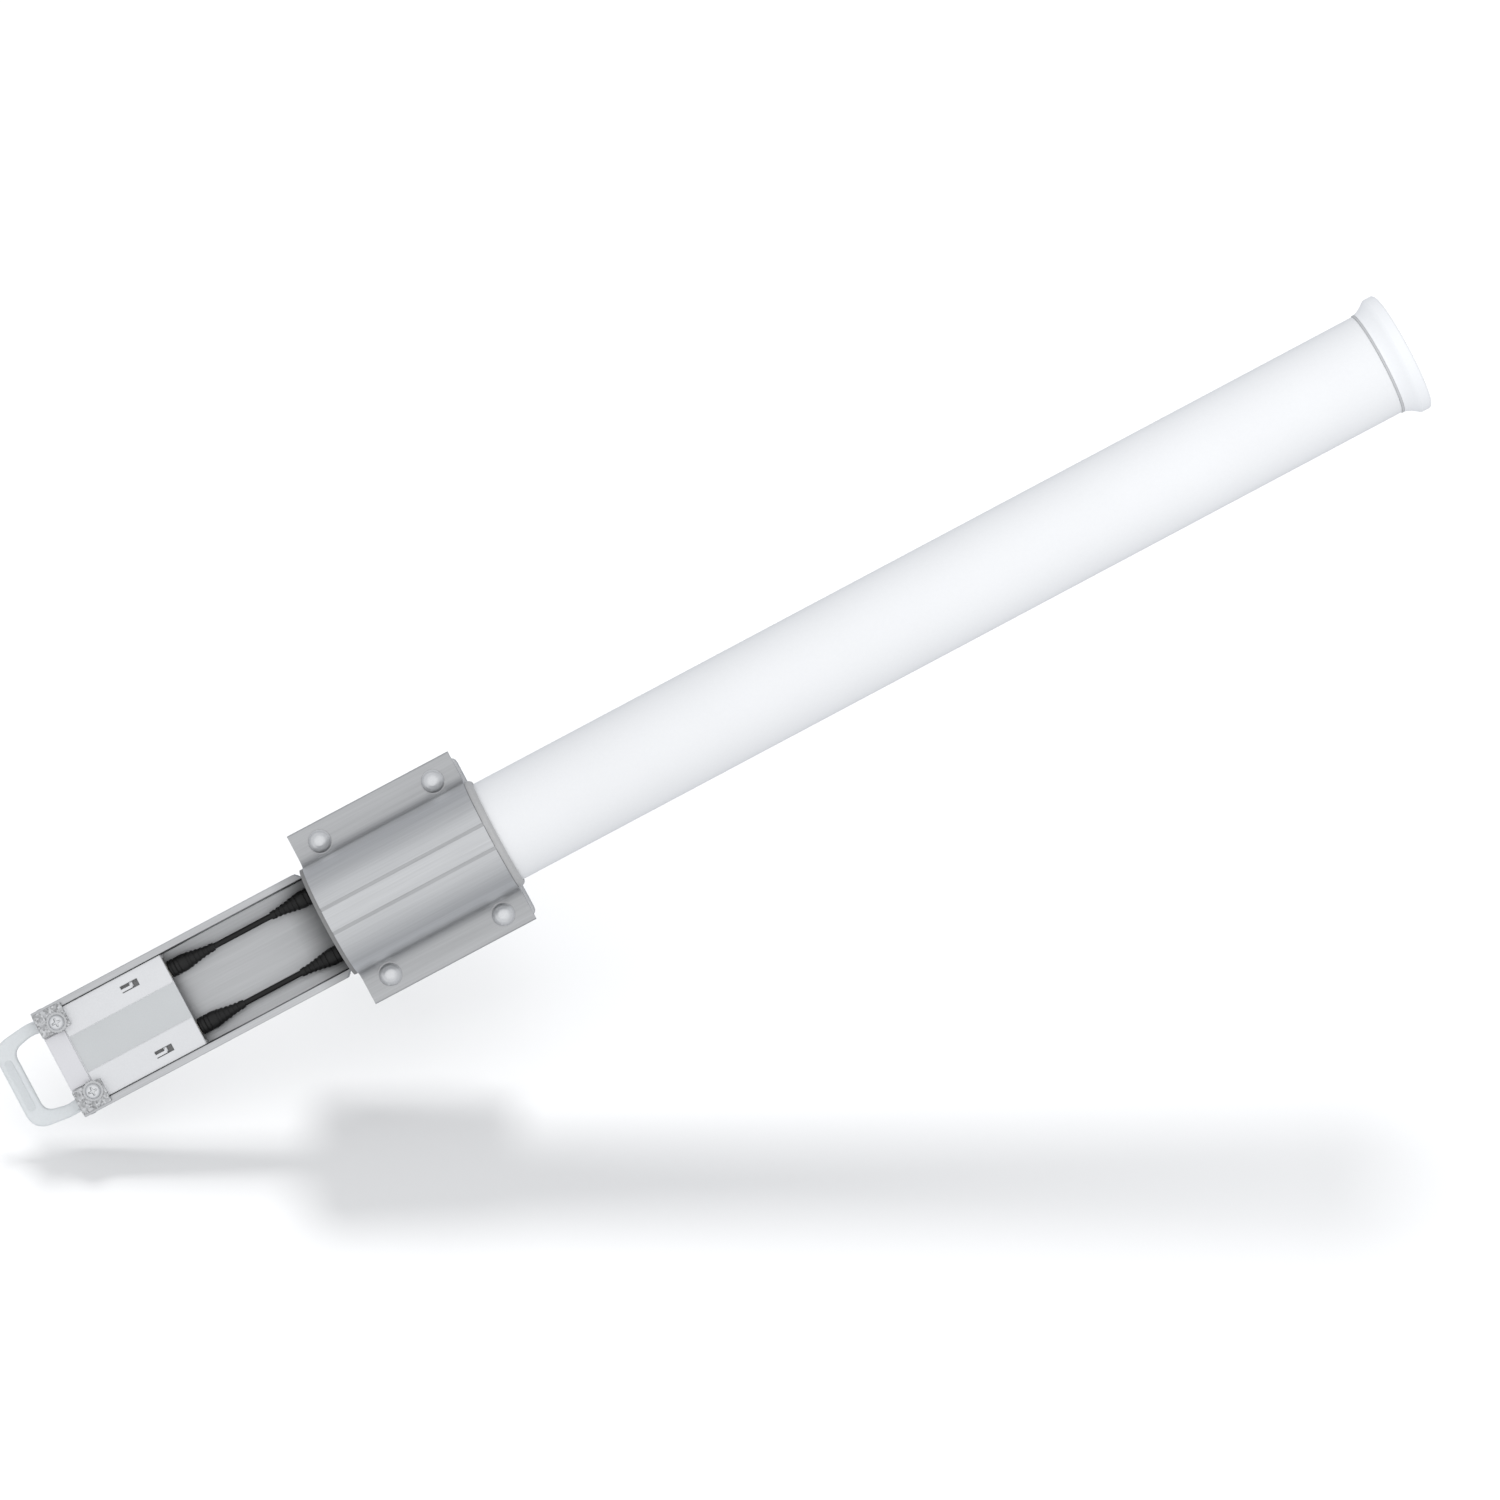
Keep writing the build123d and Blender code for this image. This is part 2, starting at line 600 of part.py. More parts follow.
# ---------------------------------------------------------------- radio mount
mount_back = floor_front - mount_clearance
with BuildPart() as radio_mount:
    with BuildSketch(Plane.XY.offset(mount_bottom)):
        with Locations((0, (skin_front + mount_back) / 2)):
            Rectangle(2 * mount_half, mount_back - skin_front)
    extrude(amount=mount_length)
    fillet(radio_mount.edges().filter_by(Axis.Z).filter_by_position(
        Axis.Y, skin_front - 0.1, skin_front + 0.1), radius=0.8)
    # Hollow from behind, on both sides of the end wall that carries the parking posts.
    with BuildSketch(Plane.XY.offset(mount_bottom - 1)):
        with Locations((0, (skin_back + mount_back + 1) / 2)):
            Rectangle(2 * mount_inner, mount_back + 1 - skin_back)
    extrude(amount=end_wall_bottom - mount_bottom + 1, mode=Mode.SUBTRACT)
    with BuildSketch(Plane.XY.offset(end_wall_top)):
        with Locations((0, (skin_back + mount_back + 1) / 2)):
            Rectangle(2 * mount_inner, mount_back + 1 - skin_back)
    extrude(amount=mount_wall_drop + 1, mode=Mode.SUBTRACT)
    # The skirts stop short of the loop's hinge barrel.
    with BuildSketch(Plane.XY.offset(mount_bottom - 1)):
        with Locations((0, hinge_y + 3)):
            Rectangle(2 * mount_half + 2, 2 * (hinge_barrel_r + stand_off) + 6)
    extrude(amount=hinge_up + hinge_barrel_r + stand_off + 1, mode=Mode.SUBTRACT)
    # Raised strip across the lower end and raised pads under the corner plates.
    with BuildSketch(Plane.XZ.offset(-skin_front)):
        with Locations((0, mount_bottom + strip_height / 2)):
            RectangleRounded(2 * (corner_plate_x - corner_plate_width / 2) - 1.0, strip_height - 0.6, 1.2)
    extrude(amount=strip_rise)
    pad_inner = corner_plate_x - corner_plate_width / 2
    for side in (-1, 1):
        with BuildSketch(Plane.XZ.offset(-skin_front)):
            with Locations((side * (pad_inner + mount_half) / 2, mount_bottom + corner_plate_length / 2)):
                Rectangle(mount_half - pad_inner, corner_plate_length)
        extrude(amount=mount_recess)
    # Screw holes through the pads and the skin.
    with BuildSketch(Plane.XZ.offset(-skin_front)):
        with Locations(*corner_places):
            Circle(corner_screw_r + screw_clearance)
    extrude(amount=mount_skin + mount_recess, both=True, mode=Mode.SUBTRACT)
    # Shallow centre panel.
    panel_foot = mount_bottom + strip_height
    with BuildSketch(Plane.XZ.offset(-skin_front)):
        with Locations((0, (panel_foot + mount_top) / 2)):
            Rectangle(2 * panel_half_width, mount_top - panel_foot)
    extrude(amount=-panel_depth, mode=Mode.SUBTRACT)
    # Snap slots, each with a hooked tongue left standing in it.
    slot_z = mount_bottom + slot_up
    for side in (-1, 1):
        with BuildSketch(Plane.XZ.offset(-skin_front)):
            with Locations((side * slot_x, slot_z)):
                Rectangle(slot_width, slot_length)
            with Locations((side * (slot_x + 0.6), slot_z - 1.5)):
                Rectangle(1.6, slot_length - 3.0, mode=Mode.SUBTRACT)
            with Locations((side * (slot_x - 0.4), slot_z + slot_length / 2 - 3.8)):
                Rectangle(2.4, 1.6, mode=Mode.SUBTRACT)
        extrude(amount=-mount_skin - 1, mode=Mode.SUBTRACT)
    # Holes in the end wall for the parking posts.
    with BuildSketch(Plane.XY.offset(end_wall_bottom - 1)):
        with Locations(*jack_places):
            Circle(jack_r + 0.05)
    extrude(amount=mount_skin + 2, mode=Mode.SUBTRACT)
radio_mount.part.label = "radio_mount"
export_step(radio_mount.part, "parts/radio_mount.step")

# Parking posts: threaded studs in the end wall that hold the jumpers' free ends.
post_mouth = boot_lower - coupling_gap - coupling_lip - 0.3
for side, place in zip(("left", "right"), jack_places):
    with BuildPart() as parking_post:
        with BuildSketch(Plane.XY.offset(end_wall_bottom)):
            with Locations(place):
                Circle(jack_r)
        extrude(amount=post_mouth - end_wall_bottom)
        with BuildSketch(Plane.XY.offset(end_wall_bottom)):
            with Locations(place):
                RegularPolygon(radius=coupling_across_flats / 2, side_count=6, major_radius=False)
        extrude(amount=-2.5)
        with BuildSketch(Plane.XY.offset(post_mouth)):
            with Locations(place):
                Circle(jack_bore_r)
        extrude(amount=-6.0, mode=Mode.SUBTRACT)
    parking_post.part.label = f"parking_post_{side}"
    export_step(parking_post.part, f"parts/parking_post_{side}.step")

with BuildPart() as corner_plates:
    for side in (-1, 1):
        with BuildSketch(Plane.XZ.offset(-rail_front)):
            with Locations((side * corner_plate_x, mount_bottom + corner_plate_length / 2)):
                RectangleRounded(corner_plate_width, corner_plate_length, 1.0)
            with Locations((side * corner_screw_x, corner_screw_z)):
                Circle(corner_screw_r + screw_clearance, mode=Mode.SUBTRACT)
        extrude(amount=corner_plate_thickness)
corner_plates.part.label = "corner_plates"
export_step(corner_plates.part, "parts/corner_plates.step")

with BuildPart() as corner_washers:
    with BuildSketch(Plane.XZ.offset(-plate_front)):
        with Locations(*corner_places):
            Circle(corner_washer_r)
            Circle(corner_screw_r + screw_clearance, mode=Mode.SUBTRACT)
    extrude(amount=corner_washer_thickness)
corner_washers.part.label = "corner_washers"
export_step(corner_washers.part, "parts/corner_washers.step")

head_seat = plate_front - corner_washer_thickness
with BuildPart() as corner_screws:
    with BuildSketch(Plane.XZ.offset(-head_seat)):
        with Locations(*corner_places):
            Circle(corner_screw_r - 0.03)
    extrude(amount=head_seat - channel_back)
    with BuildSketch(Plane.XZ.offset(-head_seat)):
        with Locations(*corner_places):
            Circle(corner_head_r)
    extrude(amount=corner_head_h)
    fillet(corner_screws.edges().group_by(Axis.Y)[0], radius=1.0)
    with BuildSketch(Plane.XZ.offset(-head_seat + corner_head_h)):
        with Locations(*corner_places):
            Rectangle(4.4, 1.0)
            Rectangle(1.0, 4.4)
    extrude(amount=-1.4, mode=Mode.SUBTRACT)
corner_screws.part.label = "corner_screws"
export_step(corner_screws.part, "parts/corner_screws.step")

with BuildPart() as corner_spacers:
    with BuildSketch(Plane.XZ.offset(-skin_back)):
        with Locations(*corner_places):
            Circle(spacer_r)
            Circle(corner_screw_r + 0.1, mode=Mode.SUBTRACT)
    extrude(amount=skin_back - floor_front)
corner_spacers.part.label = "corner_spacers"
export_step(corner_spacers.part, "parts/corner_spacers.step")

# ---------------------------------------------------------------- release loop
loop_end = mount_bottom - loop_reach
barrel_half = rail_inner - 0.5
loop_top_half = rail_inner + loop_overhang
loop_end_half = loop_top_half - loop_taper
finger_back = hinge_y + finger_thickness / 2
with BuildPart() as release_loop:
    with BuildSketch(Plane.XZ.offset(-hinge_y - loop_thickness / 2)) as loop_outline:
        with BuildLine():
            Polyline(
                (-barrel_half, hinge_z),
                (-loop_top_half, mount_bottom - 6.0),
                (-loop_end_half, loop_end),
                (loop_end_half, loop_end),
                (loop_top_half, mount_bottom - 6.0),
                (barrel_half, hinge_z),
                close=True,
            )
        make_face()
        fillet(loop_outline.vertices().group_by(Axis.Y)[0], radius=loop_corner_r)
        with BuildLine():
            Polyline(
                (-barrel_half + loop_arm, hinge_z - hinge_barrel_r - 0.6),
                (-loop_top_half + loop_arm, mount_bottom - 6.0),
                (-loop_end_half + loop_arm, loop_end + loop_band),
                (loop_end_half - loop_arm, loop_end + loop_band),
                (loop_top_half - loop_arm, mount_bottom - 6.0),
                (barrel_half - loop_arm, hinge_z - hinge_barrel_r - 0.6),
                close=True,
            )
        make_face(mode=Mode.SUBTRACT)
    extrude(amount=loop_thickness)
    inner_ends = release_loop.edges().filter_by(Axis.Y).filter_by_position(
        Axis.Z, loop_end + loop_band - 0.1, loop_end + loop_band + 0.1)
    fillet(inner_ends, radius=loop_corner_r - loop_arm)
    with BuildSketch(Plane.YZ.offset(-barrel_half)):
        with Locations((hinge_y, hinge_z)):
            Circle(hinge_barrel_r)
    extrude(amount=2 * barrel_half)
    with BuildSketch(Plane.XZ.offset(-finger_back)):
        with Locations((0, hinge_z + (hinge_barrel_r + finger_length) / 2)):
            Rectangle(finger_width, hinge_barrel_r + finger_length)
    extrude(amount=finger_thickness)
    with BuildSketch(Plane.YZ.offset(-barrel_half - 1)):
        with Locations((hinge_y, hinge_z)):
            Circle(hinge_pin_r + hinge_clearance)
    extrude(amount=2 * barrel_half + 2, mode=Mode.SUBTRACT)
release_loop.part.label = "release_loop"
export_step(release_loop.part, "parts/release_loop.step")

with BuildPart() as hinge_pin:
    with BuildSketch(Plane.YZ.offset(-channel_half)):
        with Locations((hinge_y, hinge_z)):
            Circle(hinge_pin_r)
    extrude(amount=channel_width)
hinge_pin.part.label = "hinge_pin"
export_step(hinge_pin.part, "parts/hinge_pin.step")

# A bent leaf on the channel floor stands under the loop's finger and stops it at the end of its travel.
leaf_root = hinge_z + 26.0
leaf_tip = hinge_z + 4.2
leaf_lift = floor_front - finger_back - finger_travel
with BuildPart() as latch_spring:
    with BuildSketch(Plane.YZ.offset(-leaf_width / 2)):
        with BuildLine():
            Polyline(
                (floor_front, leaf_root),
                (floor_front, leaf_root - 9.0),
                (floor_front - leaf_lift, leaf_tip),
                (floor_front - leaf_lift - leaf_thickness, leaf_tip),
                (floor_front - leaf_thickness, leaf_root - 9.0),
                (floor_front - leaf_thickness, leaf_root),
                close=True,
            )
        make_face()
    extrude(amount=leaf_width)
latch_spring.part.label = "latch_spring"
export_step(latch_spring.part, "parts/latch_spring.step")

with BuildPart() as spring_rivet:
    with BuildSketch(Plane.XZ.offset(-floor_front + leaf_thickness)):
        with Locations((0, leaf_root - 4.0)):
            Circle(2.2)
    extrude(amount=1.2)
    fillet(spring_rivet.edges().group_by(Axis.Y)[0], radius=0.8)
spring_rivet.part.label = "spring_rivet"
export_step(spring_rivet.part, "parts/spring_rivet.step")

# ---------------------------------------------------------------- jumpers
# Each end: a free-turning coupling nut on the thread, then a moulded boot that tapers to the cable.
cable_top = jack_mouth
cable_bottom = post_mouth
for side, (x, y) in zip(("left", "right"), jack_places):
    with BuildPart() as jumper_cable:
        with BuildSketch(Plane.XY.offset(cable_bottom)):
            with Locations((x, y)):
                Circle(cable_r)
        extrude(amount=cable_top - cable_bottom)
    jumper_cable.part.label = f"jumper_cable_{side}"
    export_step(jumper_cable.part, f"parts/jumper_cable_{side}.step")

    for level, start, way in (("lower", boot_lower, 1), ("upper", boot_upper, -1)):
        with BuildPart() as boot:
            with BuildSketch(Plane.XZ.offset(-y)):
                with BuildLine():
                    tip = start + way * boot_length
                    shoulder = start + way * boot_grip
                    Line((x + cable_r, start), (x + boot_r - 0.6, start))
                    Line((x + boot_r - 0.6, start), (x + boot_r, start + way * 0.6))
                    Line((x + boot_r, start + way * 0.6), (x + boot_r, shoulder))
                    Spline(
                        (x + boot_r, shoulder),
                        (x + (boot_r + boot_tip_r) / 2 - 0.2, (shoulder + tip) / 2),
                        (x + boot_tip_r, tip),
                        tangents=((-0.12, way), (0, way)),
                    )
                    Line((x + boot_tip_r, tip), (x + cable_r, tip))
                    Line((x + cable_r, tip), (x + cable_r, start))
                make_face()
            revolve(axis=Axis((x, y, 0), (0, 0, 1)))
        boot.part.label = f"boot_{level}_{side}"
        export_step(boot.part, f"parts/boot_{level}_{side}.step")

        nut_open = start - way * (coupling_gap + coupling_length)
        with BuildPart() as coupling_nut:
            with BuildSketch(Plane.XY.offset(nut_open)):
                with Locations((x, y)):
                    RegularPolygon(radius=coupling_across_flats / 2, side_count=6, major_radius=False)
                    Circle(cable_r + 0.15, mode=Mode.SUBTRACT)
            extrude(amount=way * coupling_length)
            with BuildSketch(Plane.XY.offset(nut_open)):
                with Locations((x, y)):
                    Circle(jack_r + thread_clearance)
            extrude(amount=way * (coupling_length - coupling_lip), mode=Mode.SUBTRACT)
        coupling_nut.part.label = f"coupling_nut_{level}_{side}"
        export_step(coupling_nut.part, f"parts/coupling_nut_{level}_{side}.step")

# ---------------------------------------------------------------- inside the radome
board_width = 2 * (tube_inner_r - board_inset)
board_bottom = plug_top + board_foot
board_top = cap_foot - cap_spigot - 4.0
board_length = board_top - board_bottom
with BuildPart() as array_board:
    with BuildSketch(Plane.XY.offset(board_bottom)):
        with Locations((0, axis_y)):
            Rectangle(board_width, board_thickness)
    extrude(amount=board_length)
array_board.part.label = "array_board"
export_step(array_board.part, "parts/array_board.step")

# Radiating elements stand in pairs up the front of the board, with a feed strip behind it.
element_pitch = board_length / (element_count + 1)
board_front = axis_y - board_thickness / 2
board_back = axis_y + board_thickness / 2
with BuildPart() as radiating_elements:
    for n in range(element_count):
        z = board_bottom + (n + 1) * element_pitch
        with BuildSketch(Plane.XZ.offset(-board_front)):
            with Locations((-board_width / 4, z + element_length / 2 + 1), (board_width / 4, z - element_length / 2 - 1)):
                Rectangle(element_width, element_length)
        extrude(amount=foil)
radiating_elements.part.label = "radiating_elements"
export_step(radiating_elements.part, "parts/radiating_elements.step")

with BuildPart() as feed_strip:
    with BuildSketch(Plane.XZ.offset(-board_back)):
        with Locations((0, (board_bottom + board_top) / 2)):
            Rectangle(feed_width, board_length - 10.0)
    extrude(amount=-foil)
feed_strip.part.label = "feed_strip"
export_step(feed_strip.part, "parts/feed_strip.step")

with BuildPart() as foam_spacers:
    for n in range(spacer_count):
        z = board_bottom + (n + 0.5) * board_length / spacer_count - foam_thickness / 2
        with BuildSketch(Plane.XY.offset(z)):
            with Locations((0, axis_y)):
                Circle(tube_inner_r - foam_clearance)
                Rectangle(board_width + 1.0, board_thickness + 2.0, mode=Mode.SUBTRACT)
        extrude(amount=foam_thickness)
foam_spacers.part.label = "foam_spacers"
export_step(foam_spacers.part, "parts/foam_spacers.step")

# Coaxes inside the radome rise from the jacks and lean in to the back of the board.
coax_y = board_back + feed_coax_r
coax_start = plug_top + jack_flange_thickness
for side, sign, (x, y) in zip(("left", "right"), (-1, 1), jack_places):
    with BuildPart() as feed_coax:
        with BuildLine():
            FilletPolyline(
                (x, y, coax_start),
                (x, y, coax_start + 9.0),
                (x - sign * 4.0, coax_y, coax_start + 26.0),
                (x - sign * 4.0, coax_y, coax_start + 36.0),
                radius=8.0,
            )
        with BuildSketch(Plane(origin=(x, y, coax_start), z_dir=(0, 0, 1))):
            Circle(feed_coax_r)
        sweep()
    feed_coax.part.label = f"feed_coax_{side}"
    export_step(feed_coax.part, f"parts/feed_coax_{side}.step")
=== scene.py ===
import json
import math

import bmesh
import bpy
import numpy as np
from mathutils import Matrix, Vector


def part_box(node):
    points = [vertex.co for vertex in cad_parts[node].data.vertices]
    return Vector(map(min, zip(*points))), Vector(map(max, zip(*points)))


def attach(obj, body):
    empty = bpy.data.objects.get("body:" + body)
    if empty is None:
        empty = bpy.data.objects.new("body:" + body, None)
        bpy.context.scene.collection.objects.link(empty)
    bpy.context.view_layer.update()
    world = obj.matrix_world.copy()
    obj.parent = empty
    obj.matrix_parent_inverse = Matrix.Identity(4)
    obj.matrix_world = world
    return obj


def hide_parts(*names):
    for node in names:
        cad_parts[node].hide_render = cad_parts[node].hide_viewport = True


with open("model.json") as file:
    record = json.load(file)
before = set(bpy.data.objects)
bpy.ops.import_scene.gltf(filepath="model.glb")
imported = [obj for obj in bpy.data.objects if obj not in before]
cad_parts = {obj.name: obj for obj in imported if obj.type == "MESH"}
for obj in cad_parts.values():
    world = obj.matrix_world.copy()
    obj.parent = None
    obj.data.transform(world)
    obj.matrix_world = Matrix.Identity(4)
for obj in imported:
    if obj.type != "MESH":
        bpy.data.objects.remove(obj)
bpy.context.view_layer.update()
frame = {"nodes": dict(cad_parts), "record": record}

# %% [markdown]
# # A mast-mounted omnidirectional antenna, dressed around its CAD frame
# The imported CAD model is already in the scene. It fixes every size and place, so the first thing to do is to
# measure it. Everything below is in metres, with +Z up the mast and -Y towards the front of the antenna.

MM = 0.001
HUB = 0.001      # the radius, in mm, at which a turned surface's closed end stops short of its axis
BLANK_R = 9.0    # the radius, in mm, of a blank that six flats are cut on: wider than any of the hexagons


def box(node):
    """The lowest and the highest corner of a CAD node, in mm."""
    return [np.array(corner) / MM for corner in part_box(node)]


def middle(node):
    """The centre of a CAD node's box, in mm."""
    low, high = box(node)
    return (low + high) / 2


def size(node):
    """The lengths of a CAD node's box along X, Y and Z, in mm."""
    low, high = box(node)
    return high - low


axis_y = middle("radome_tube")[1]
tube_r = size("radome_tube")[0] / 2
print("radome axis at y =", round(axis_y, 2), "mm, radius", round(tube_r, 2), "mm")

# %% [markdown]
# ## Camera
# The antenna is looked at square on from its front, through a long lens, so that the tube keeps the same
# width from end to end. The camera is rolled until the tube climbs to the upper right at 28 degrees. It could
# be turned by hand with three angles, but the roll is easier to state as two unit vectors, which way is right
# and which way is up in the picture. The rest of the stage is placed with the same two vectors, so it stays
# level in the picture.

# %% Camera
climb = math.radians(28.0)
picture_right = np.array([math.sin(climb), 0.0, math.cos(climb)])
picture_up = np.array([-math.cos(climb), 0.0, math.sin(climb)])
towards_camera = np.array([0.0, -1.0, 0.0])
saddle_centre = np.array([0.0, axis_y, middle("saddle")[2]]) * MM
picture_width = 0.7505
picture_centre = saddle_centre + 0.1695 * picture_right + 0.0640 * picture_up
lens_mm, sensor_mm = 150.0, 36.0
camera_distance = picture_width * lens_mm / sensor_mm


def placed(obj, place, right, up):
    """Puts a camera or light at a point, with its own X along right and its own Y along up."""
    back = np.cross(right, up)
    matrix = np.eye(4)
    matrix[:3, :3] = np.column_stack([right, up, back])
    matrix[:3, 3] = place
    obj.matrix_world = Matrix(matrix.tolist())
    bpy.context.scene.collection.objects.link(obj)
    return obj


camera_data = bpy.data.cameras.new("camera")
camera_data.lens = lens_mm
camera_data.sensor_width = sensor_mm
camera_place = picture_centre + camera_distance * towards_camera
camera = placed(bpy.data.objects.new("camera", camera_data), camera_place, picture_right, picture_up)
bpy.context.scene.camera = camera
print("camera", round(camera_distance, 2), "m in front of the antenna")

# %% [markdown]
# ## Stage
# A pale floor runs under the antenna. It faces up in the picture and is turned towards the camera. A shadow
# catcher would be another way, but it is an object setting and leaves the background see-through; here a mix
# of shaders does the same work. Only the camera sees the floor, and only from its upper side: to every other
# ray it is clear, so it neither tints the antenna from below nor hides it in a view from behind. Its white is
# bright enough to melt into the background, which leaves the antenna's soft shadow as the only thing seen on
# it. A view from behind still sees that shadow, as faint streaks beside the antenna.

# %% Floor's place
floor_turn = math.radians(40.0)
floor_up = math.cos(floor_turn) * picture_up + math.sin(floor_turn) * towards_camera
floor_along = np.cross(floor_up, picture_right)
floor_drop = 0.2165
floor_place = picture_centre - floor_drop * picture_up
print("floor turned", round(math.degrees(floor_turn)), "degrees towards the camera")

# %% [markdown]
# Every material here is a node tree. Three small helpers build them: one makes a material and hands over its
# main nodes, one adds a node with its values, and one joins two sockets.

# %% Node helpers
def material(name):
    """A new node material: returns it with its node tree, its Principled BSDF and its output."""
    made = bpy.data.materials.new(name)
    made.use_nodes = True
    tree = made.node_tree
    return made, tree, tree.nodes["Principled BSDF"], tree.nodes["Material Output"]


def node(tree, kind, inputs=None, **settings):
    """Adds a node of that kind, with its properties and its sockets' plain values set."""
    made = tree.nodes.new(kind)
    for key, value in settings.items():
        setattr(made, key, value)
    for key, value in (inputs or {}).items():
        made.inputs[key].default_value = value
    return made


def link(source, outlet, target, inlet):
    """Joins a socket of one node to a socket of another in the same tree."""
    source.id_data.links.new(source.outputs[outlet], target.inputs[inlet])


print("helpers: material, node, link")

# %% [markdown]
# The floor's shader asks two questions: is this a camera ray, and is this the floor's upper side? Only if
# both are so does its lit white show, and otherwise it is clear.

# %% Floor shader
floor_paint, tree, principled, output = material("floor_white")
tree.nodes.remove(principled)
diffuse = node(tree, "ShaderNodeBsdfDiffuse", {"Color": (0.76, 0.76, 0.76, 1)})
glow = node(tree, "ShaderNodeEmission", {"Color": (1, 1, 1, 1), "Strength": 0.03})
lit = node(tree, "ShaderNodeAddShader")
clear = node(tree, "ShaderNodeBsdfTransparent")
side = node(tree, "ShaderNodeNewGeometry")
path = node(tree, "ShaderNodeLightPath")
front = node(tree, "ShaderNodeMath", {0: 1.0}, operation="SUBTRACT")
shown = node(tree, "ShaderNodeMath", operation="MULTIPLY")
choose = node(tree, "ShaderNodeMixShader")
link(diffuse, 0, lit, 0)
link(glow, 0, lit, 1)
link(side, "Backfacing", front, 1)
link(front, 0, shown, 0)
link(path, "Is Camera Ray", shown, 1)
link(shown, 0, choose, 0)
link(clear, 0, choose, 1)
link(lit, 0, choose, 2)
link(choose, 0, output, "Surface")
print(len(tree.nodes), "nodes in the floor's shader")

# %% [markdown]
# The floor is one large square. Its corners come from the same vectors as the camera's, and its face is
# turned upward in the picture.

# %% Floor plane
floor_half = 3.0
corners = [floor_place + a * floor_half * picture_right + b * floor_half * floor_along
           for a, b in ((-1, -1), (-1, 1), (1, 1), (1, -1))]
floor_mesh = bpy.data.meshes.new("floor")
floor_mesh.from_pydata([tuple(c) for c in corners], [], [(0, 1, 2, 3)])
floor = bpy.data.objects.new("floor", floor_mesh)
floor_mesh.materials.append(floor_paint)
bpy.context.scene.collection.objects.link(floor)
if np.dot(np.array(floor_mesh.polygons[0].normal), floor_up) < 0:
    floor_mesh.flip_normals()
print("floor:", 2 * floor_half, "m across")

# %% [markdown]
# ## Light
# The light is a white studio with no hard lamps near the antenna. Area lamps could make it, but their edges
# would show as streaks on the saddle, so the surround itself is the lamp. It is brightest in front of the
# antenna and falls off towards the sides and the back, so a surface that faces the camera is lighter than one
# that turns away. A soft sun straight above, which only the floor takes, draws the shadow. To the camera
# itself the surround is plain white, through the world's Light Path node.

# %% World
scene = bpy.context.scene
scene.view_settings.view_transform = "Standard"
world = bpy.data.worlds.new("studio")
world.use_nodes = True
scene.world = world
sky = world.node_tree
sky.nodes.clear()
path = node(sky, "ShaderNodeLightPath")
seen = node(sky, "ShaderNodeBackground", {"Color": (1, 1, 1, 1), "Strength": 1.0})
where = node(sky, "ShaderNodeTexCoord")
parts = node(sky, "ShaderNodeSeparateXYZ")
falloff = node(sky, "ShaderNodeValToRGB")
ramp = falloff.color_ramp
ramp.elements[0].position, ramp.elements[0].color = 0.0, (1.21, 1.22, 1.235, 1)
ramp.elements[1].position, ramp.elements[1].color = 1.0, (0.55, 0.57, 0.61, 1)
middle_tone = ramp.elements.new(0.5)
middle_tone.color = (0.68, 0.695, 0.72, 1)
spread = node(sky, "ShaderNodeMapRange", {"From Min": -1.0, "From Max": 1.0, "To Min": 0.0, "To Max": 1.0})
fill = node(sky, "ShaderNodeBackground", {"Strength": 1.0})
either = node(sky, "ShaderNodeMixShader")
sky_out = node(sky, "ShaderNodeOutputWorld")
link(where, "Generated", parts, 0)
link(parts, "Y", spread, "Value")
link(spread, "Result", falloff, "Fac")
link(falloff, "Color", fill, "Color")
link(path, "Is Camera Ray", either, 0)
link(fill, 0, either, 1)
link(seen, 0, either, 2)
link(either, 0, sky_out, 0)
print(len(ramp.elements), "tones from the front of the surround to its back")

# %% [markdown]
# Light linking ties the sun to the floor: it falls on nothing else, and only chosen objects block it.

# %% Shadow sun
sun_data = bpy.data.lights.new("shadow_sun", "SUN")
sun_data.energy = 2.0
sun_data.angle = math.radians(14.0)
sun = placed(bpy.data.objects.new("shadow_sun", sun_data), picture_centre + 2.0 * picture_up,
             picture_right, -towards_camera)
floor_only = bpy.data.collections.new("floor_only")
floor_only.objects.link(floor)
sun.light_linking.receiver_collection = floor_only
shadow_makers = bpy.data.collections.new("shadow_makers")
sun.light_linking.blocker_collection = shadow_makers

# %% [markdown]
# ## Surface helpers
# Every new piece is made of surfaces worked out with numpy. Two kinds cover nearly all the hardware: a turned
# surface, which is a profile carried round an axis, and a slab, which is a flat outline with rounded rims.
# Both return their points and faces, so that several can be gathered into one mesh.

# %% Grids of points
def grid(points, close_rows=False, close_cols=True):
    """Faces for a grid of points (rows, cols, 3): each cell between neighbouring rows and columns is one
    quad."""
    rows, cols = points.shape[:2]
    index = np.arange(rows * cols).reshape(rows, cols)
    if close_rows:
        index = np.vstack([index, index[:1]])
    if close_cols:
        index = np.hstack([index, index[:, :1]])
    quads = np.stack([index[:-1, :-1], index[:-1, 1:], index[1:, 1:], index[1:, :-1]], axis=-1)
    return points.reshape(-1, 3), quads.reshape(-1, 4).tolist()


def along_axis(axis, out_a, out_b, along):
    """Puts two crosswise lengths and a lengthwise one on the axes, so that the lengthwise one lies on X,
    Y or Z."""
    order = {"X": (along, out_a, out_b), "Y": (out_b, along, out_a), "Z": (out_a, out_b, along)}[axis]
    return np.stack(np.broadcast_arrays(*order), axis=-1)


print("helpers: grid, along_axis")

# %% [markdown]
# Few real corners are sharp. A bevel modifier would round them after the mesh is made; rounding the outline
# first keeps the points few and in order.

# %% Soft outlines
def lengths(vectors):
    """The length of each vector, as a column, and never quite zero."""
    return np.maximum(np.linalg.norm(vectors, axis=1, keepdims=True), 1e-9)


